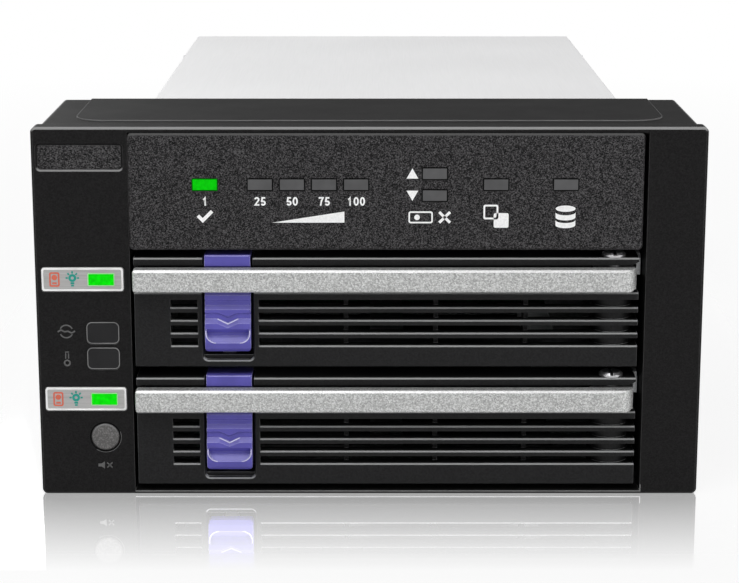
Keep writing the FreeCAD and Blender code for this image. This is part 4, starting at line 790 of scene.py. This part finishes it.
# outlines on them, millimetres
ARROW_LEAN = 0.27
ARROW_HALF = 2.3
ARROW_TIP = 4.3
RIDGE_TOP = 5.36
SCOOP_HALF = 4.9
SCOOP_CORNER = 2.2
SCOOP_TOP = 2.9
BROW_DROP = 0.17
BROW_INSET = 0.3


def mark_latch(tray):
    """Painted highlight lines round the thumb hollow, on the arrow and on the ridges of one latch."""
    lo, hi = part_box("latch_" + tray)
    face_lo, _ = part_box("tray_front_" + tray)
    x = (lo.x + hi.x) / 2
    z = face_lo.z + SCOOP_FLOOR

    def line(name, outline, y, look):
        return marks(f"{name}_{tray}", [outline], x, y, z, look, body="latch_" + tray, slot="latch_purple")

    left = [(-SCOOP_HALF, SCOOP_TOP)]
    left += arc_points(SCOOP_CORNER, 180, 270, 6, SCOOP_CORNER - SCOOP_HALF, SCOOP_CORNER)
    right = [(-a, b) for a, b in left]
    line("latch_glint_left", ribbon(left, 0.20), PAD_FACE, glint_bright)
    line("latch_glint_right", ribbon(right, 0.20), PAD_FACE, glint_bright)
    line("latch_glint_middle", ribbon([left[-1], right[-1]], 0.20), PAD_FACE, glint_soft)
    arrow = [(-ARROW_HALF, RIDGE_TOP), (0.0, ARROW_TIP), (ARROW_HALF, RIDGE_TOP)]
    piece = line("latch_arrow_glint", ribbon(arrow, 0.24), ARROW_FACE, glint_bright)
    for vertex in piece.data.vertices:
        vertex.co.y += (vertex.co.z - z - ARROW_TIP * MM) * ARROW_LEAN
    half = (hi.x - lo.x) / 2 / MM - BROW_INSET
    brow = (hi.z - z) / MM - BROW_DROP
    line("latch_brow_glint", bar_loop(-half, brow, half, brow, 0.22), BROW_FACE, glint_soft)
    for side in (-1, 1):
        ridge = bar_loop(side * ARROW_HALF, RIDGE_TOP, side * SCOOP_HALF, RIDGE_TOP, 0.16)
        line(f"latch_ridge_{side + 1}", ridge, RIDGE_FACE, glint_soft)


for tray in ("lower", "upper"):
    mark_latch(tray)

# ------------------------------------------------------------------ strips on the front bezel

SILL_FRONT = 4.55 * MM
SILL_BACK = 14.9 * MM
SILL_LOW = 0.20 * MM
SILL_HIGH = 0.70 * MM
SILL_BEVEL = 0.15 * MM
SILL_END_GAP = 0.05 * MM


def make_sill():
    """Bevelled lip that closes the underside between the bezel and the sheet-metal body."""
    profile = [
        (SILL_FRONT, SILL_LOW),
        (SILL_BACK - SILL_BEVEL, SILL_LOW),
        (SILL_BACK, (SILL_LOW + SILL_HIGH) / 2),
        (SILL_BACK - SILL_BEVEL, SILL_HIGH),
        (SILL_FRONT + SILL_BEVEL, SILL_HIGH),
        (SILL_FRONT, SILL_HIGH - SILL_BEVEL),
    ]
    ends = (shell_lo.x + SILL_END_GAP, shell_hi.x - SILL_END_GAP)
    corners = [(x, FRONT + y, GROUND + z) for x in ends for y, z in profile]
    count = len(profile)
    caps = [tuple(range(count)), tuple(range(count, 2 * count))]
    sides = [(i, (i + 1) % count, (i + 1) % count + count, i + count) for i in range(count)]
    mesh = bpy.data.meshes.new("sill")
    mesh.from_pydata(corners, [], caps + sides)
    builder = bmesh.new()
    builder.from_mesh(mesh)
    bmesh.ops.recalc_face_normals(builder, faces=builder.faces)
    builder.to_mesh(mesh)
    builder.free()
    finish_piece(new_object("sill", mesh), looks["guide_black"], "cage")


make_sill()

# painted highlight along the lower edge of the trays' opening, turned up at its right end
OPENING_FLOOR = 0.8 * MM
SHELL_SHEET = 1.2 * MM
EDGE_WIDTH = 0.22
EDGE_TURN = 1.6
EDGE_BELOW = 0.02
edge_left = (shell_lo.x + SHELL_SHEET) / MM
edge_right = (shell_hi.x - SHELL_SHEET) / MM + EDGE_WIDTH / 2
edge_z = GROUND + OPENING_FLOOR - (EDGE_WIDTH / 2 + EDGE_BELOW) * MM
edge_line = [(edge_left, 0.0), (edge_right, 0.0), (edge_right, EDGE_TURN)]
marks("opening_edge_highlight", [ribbon(edge_line, EDGE_WIDTH)],
      0.0, FRONT - 0.03 * MM, edge_z, rim_grey, slot="bezel_black")

# painted highlight line on the step of the raised field on top
FIELD_HALF = 66.4
FIELD_START = 10.1
FIELD_CORNER = 7.0
FIELD_LINE_LENGTH = 13.0
STEP_LINE = 0.05
STEP_LINE_HEIGHT = 0.26 * MM
STEP_MIDDLE = bezel_hi.z - 0.15 * MM


def make_field_step_highlight():
    """Thin strip of painted highlight that follows the field's front edge and its two rounded corners."""
    half = FIELD_HALF + STEP_LINE / 2
    start = FIELD_START - STEP_LINE / 2
    radius = FIELD_CORNER + STEP_LINE / 2
    end = FIELD_START + FIELD_LINE_LENGTH
    line = [(-half, end)]
    line += arc_points(radius, 180, 270, 8, radius - half, start + radius)
    line += arc_points(radius, 270, 360, 8, half - radius, start + radius)
    line += [(half, end)]
    piece = filled("field_step_highlight", [ribbon(line, STEP_LINE)], STEP_LINE_HEIGHT)
    for vertex in piece.data.vertices:
        vertex.co = Vector((vertex.co.x, FRONT + vertex.co.y, STEP_MIDDLE + vertex.co.z))
    finish_piece(piece, rim_grey, "cage")


make_field_step_highlight()

# ------------------------------------------------------------------ stage

FLOOR_HALF = 4.0
FLOOR_GREY = 0.84
# share of real light and shadow in the white floor, and how far from the object it fades out
FLOOR_SHADOW = 0.25
SHADOW_REACH = 0.5
# the floor's mirror beside the object, and how far it fades out
MIRROR_SHARE = 0.58
MIRROR_REACH = 0.044
# level of the world above the horizon, as the camera and mirrors see it
CEILING = 0.25
HORIZON = 0.02
CEILING_START = 0.07
SKY_GREY = 0.9
SKY_LIGHT = 0.35


def distance_from_object(tree):
    """Distance on the floor from the object's footprint."""
    position = tree.nodes.new("ShaderNodeNewGeometry")
    split = tree.nodes.new("ShaderNodeSeparateXYZ")
    tree.links.new(position.outputs["Position"], split.inputs["Vector"])
    squares = 0.0
    for axis, half in (("X", cad_hi.x), ("Y", cad_hi.y)):
        beyond = math_node(tree, "SUBTRACT", math_node(tree, "ABSOLUTE", split.outputs[axis]), half)
        outside = math_node(tree, "MAXIMUM", beyond, 0.0)
        squares = math_node(tree, "ADD", squares, math_node(tree, "MULTIPLY", outside, outside))
    return math_node(tree, "SQRT", squares)


def polished_floor(name):
    """White floor that keeps the shadow and mirrors the object more weakly with the distance from it."""
    material, shader = new_material(name, (FLOOR_GREY,) * 3, 0.9, specular=0.0)
    tree = material.node_tree
    distance = distance_from_object(tree)
    white = tree.nodes.new("ShaderNodeEmission")
    white.inputs["Color"].default_value = (1.0, 1.0, 1.0, 1.0)
    shadow = ranged(tree, distance, 0.0, SHADOW_REACH, FLOOR_SHADOW, 0.0)
    lit = mix_shaders(tree, shadow, white.outputs["Emission"], shader.outputs["BSDF"])
    # the ceiling's image is as bright as the white floor
    mirror = tree.nodes.new("ShaderNodeBsdfGlossy")
    mirror.inputs["Color"].default_value = (1 / CEILING, 1 / CEILING, 1 / CEILING, 1.0)
    mirror.inputs["Roughness"].default_value = 0.03
    fade = ranged(tree, distance, 0.0, MIRROR_REACH, MIRROR_SHARE, 0.0)
    polish = mix_shaders(tree, fade, lit, mirror.outputs["BSDF"])
    # the camera sees the mirror, other mirrors see the plain white floor, and all other light the grey one
    path = tree.nodes.new("ShaderNodeLightPath")
    near = mix_shaders(tree, path.outputs["Is Camera Ray"], lit, polish)
    seen = math_node(tree, "MAXIMUM", path.outputs["Is Camera Ray"], path.outputs["Is Glossy Ray"])
    surface = mix_shaders(tree, seen, shader.outputs["BSDF"], near)
    tree.links.new(surface, tree.nodes["Material Output"].inputs["Surface"])
    return material


floor_mesh = bpy.data.meshes.new("floor")
floor_corners = [(x * FLOOR_HALF, y * FLOOR_HALF, GROUND) for x, y in ((-1, -1), (1, -1), (1, 1), (-1, 1))]
floor_mesh.from_pydata(floor_corners, [], [(0, 1, 2, 3)])
floor = new_object("floor", floor_mesh)
floor.data.materials.append(polished_floor("floor_white"))


def studio_world():
    """Even light on the object; white at the horizon and a grey ceiling for the camera and mirrors."""
    world = bpy.data.worlds.new("studio")
    world.use_nodes = True
    sky = world.node_tree
    light = sky.nodes["Background"]
    light.inputs["Color"].default_value = (SKY_GREY, SKY_GREY, SKY_GREY, 1.0)
    light.inputs["Strength"].default_value = SKY_LIGHT
    seen = sky.nodes.new("ShaderNodeBackground")
    seen.inputs["Strength"].default_value = 1.0
    heading = sky.nodes.new("ShaderNodeTexCoord")
    height = sky.nodes.new("ShaderNodeSeparateXYZ")
    sky.links.new(heading.outputs["Generated"], height.inputs["Vector"])
    levels = [(HORIZON, (1.0, 1.0, 1.0)), (CEILING_START, (CEILING, CEILING, CEILING))]
    sky.links.new(ramp(world, height.outputs["Z"], levels), seen.inputs["Color"])
    path = sky.nodes.new("ShaderNodeLightPath")
    mirrored = math_node(sky, "MAXIMUM", path.outputs["Is Glossy Ray"], path.outputs["Is Transmission Ray"])
    either = math_node(sky, "MAXIMUM", path.outputs["Is Camera Ray"], mirrored)
    surface = mix_shaders(sky, either, light.outputs["Background"], seen.outputs["Background"])
    sky.links.new(surface, sky.nodes["World Output"].inputs["Surface"])
    return world


bpy.context.scene.world = studio_world()

# ------------------------------------------------------------------ lights and camera

LAMP_TARGET = Vector((0.0, 0.0, 0.05))
# name, place, width and height in metres, watts
LAMPS = (
    ("key_light", (-0.25, -0.55, 0.85), 0.7, 0.5, 5.4),
    ("fill_light", (0.75, -0.55, 0.35), 0.5, 0.6, 2.0),
    ("top_light", (0.0, 0.25, 0.95), 0.8, 0.6, 2.5),
    ("back_light", (-0.5, 0.9, 0.6), 0.6, 0.5, 2.0),
)


def softbox(name, place, width, height, watts):
    """Rectangular lamp turned towards the object."""
    light = bpy.data.lights.new(name, "AREA")
    light.shape = "RECTANGLE"
    light.size = width
    light.size_y = height
    light.energy = watts
    holder = new_object(name, light)
    holder.location = place
    direction = LAMP_TARGET - Vector(place)
    holder.rotation_euler = direction.to_track_quat("-Z", "Y").to_euler()


for lamp in LAMPS:
    softbox(*lamp)

camera_data = bpy.data.cameras.new("camera")
camera_data.lens = CAMERA_LENS
camera_data.sensor_width = 36.0
camera_data.shift_y = CAMERA_SHIFT
camera_data.clip_start = 0.01
camera_data.clip_end = 50.0
camera = new_object("camera", camera_data)
camera.location = (0.0, FRONT - CAMERA_AHEAD, GROUND + CAMERA_HEIGHT)
camera.rotation_euler = (math.pi / 2 - CAMERA_PITCH, 0.0, 0.0)
bpy.context.scene.camera = camera
bpy.context.scene.view_settings.view_transform = "Standard"
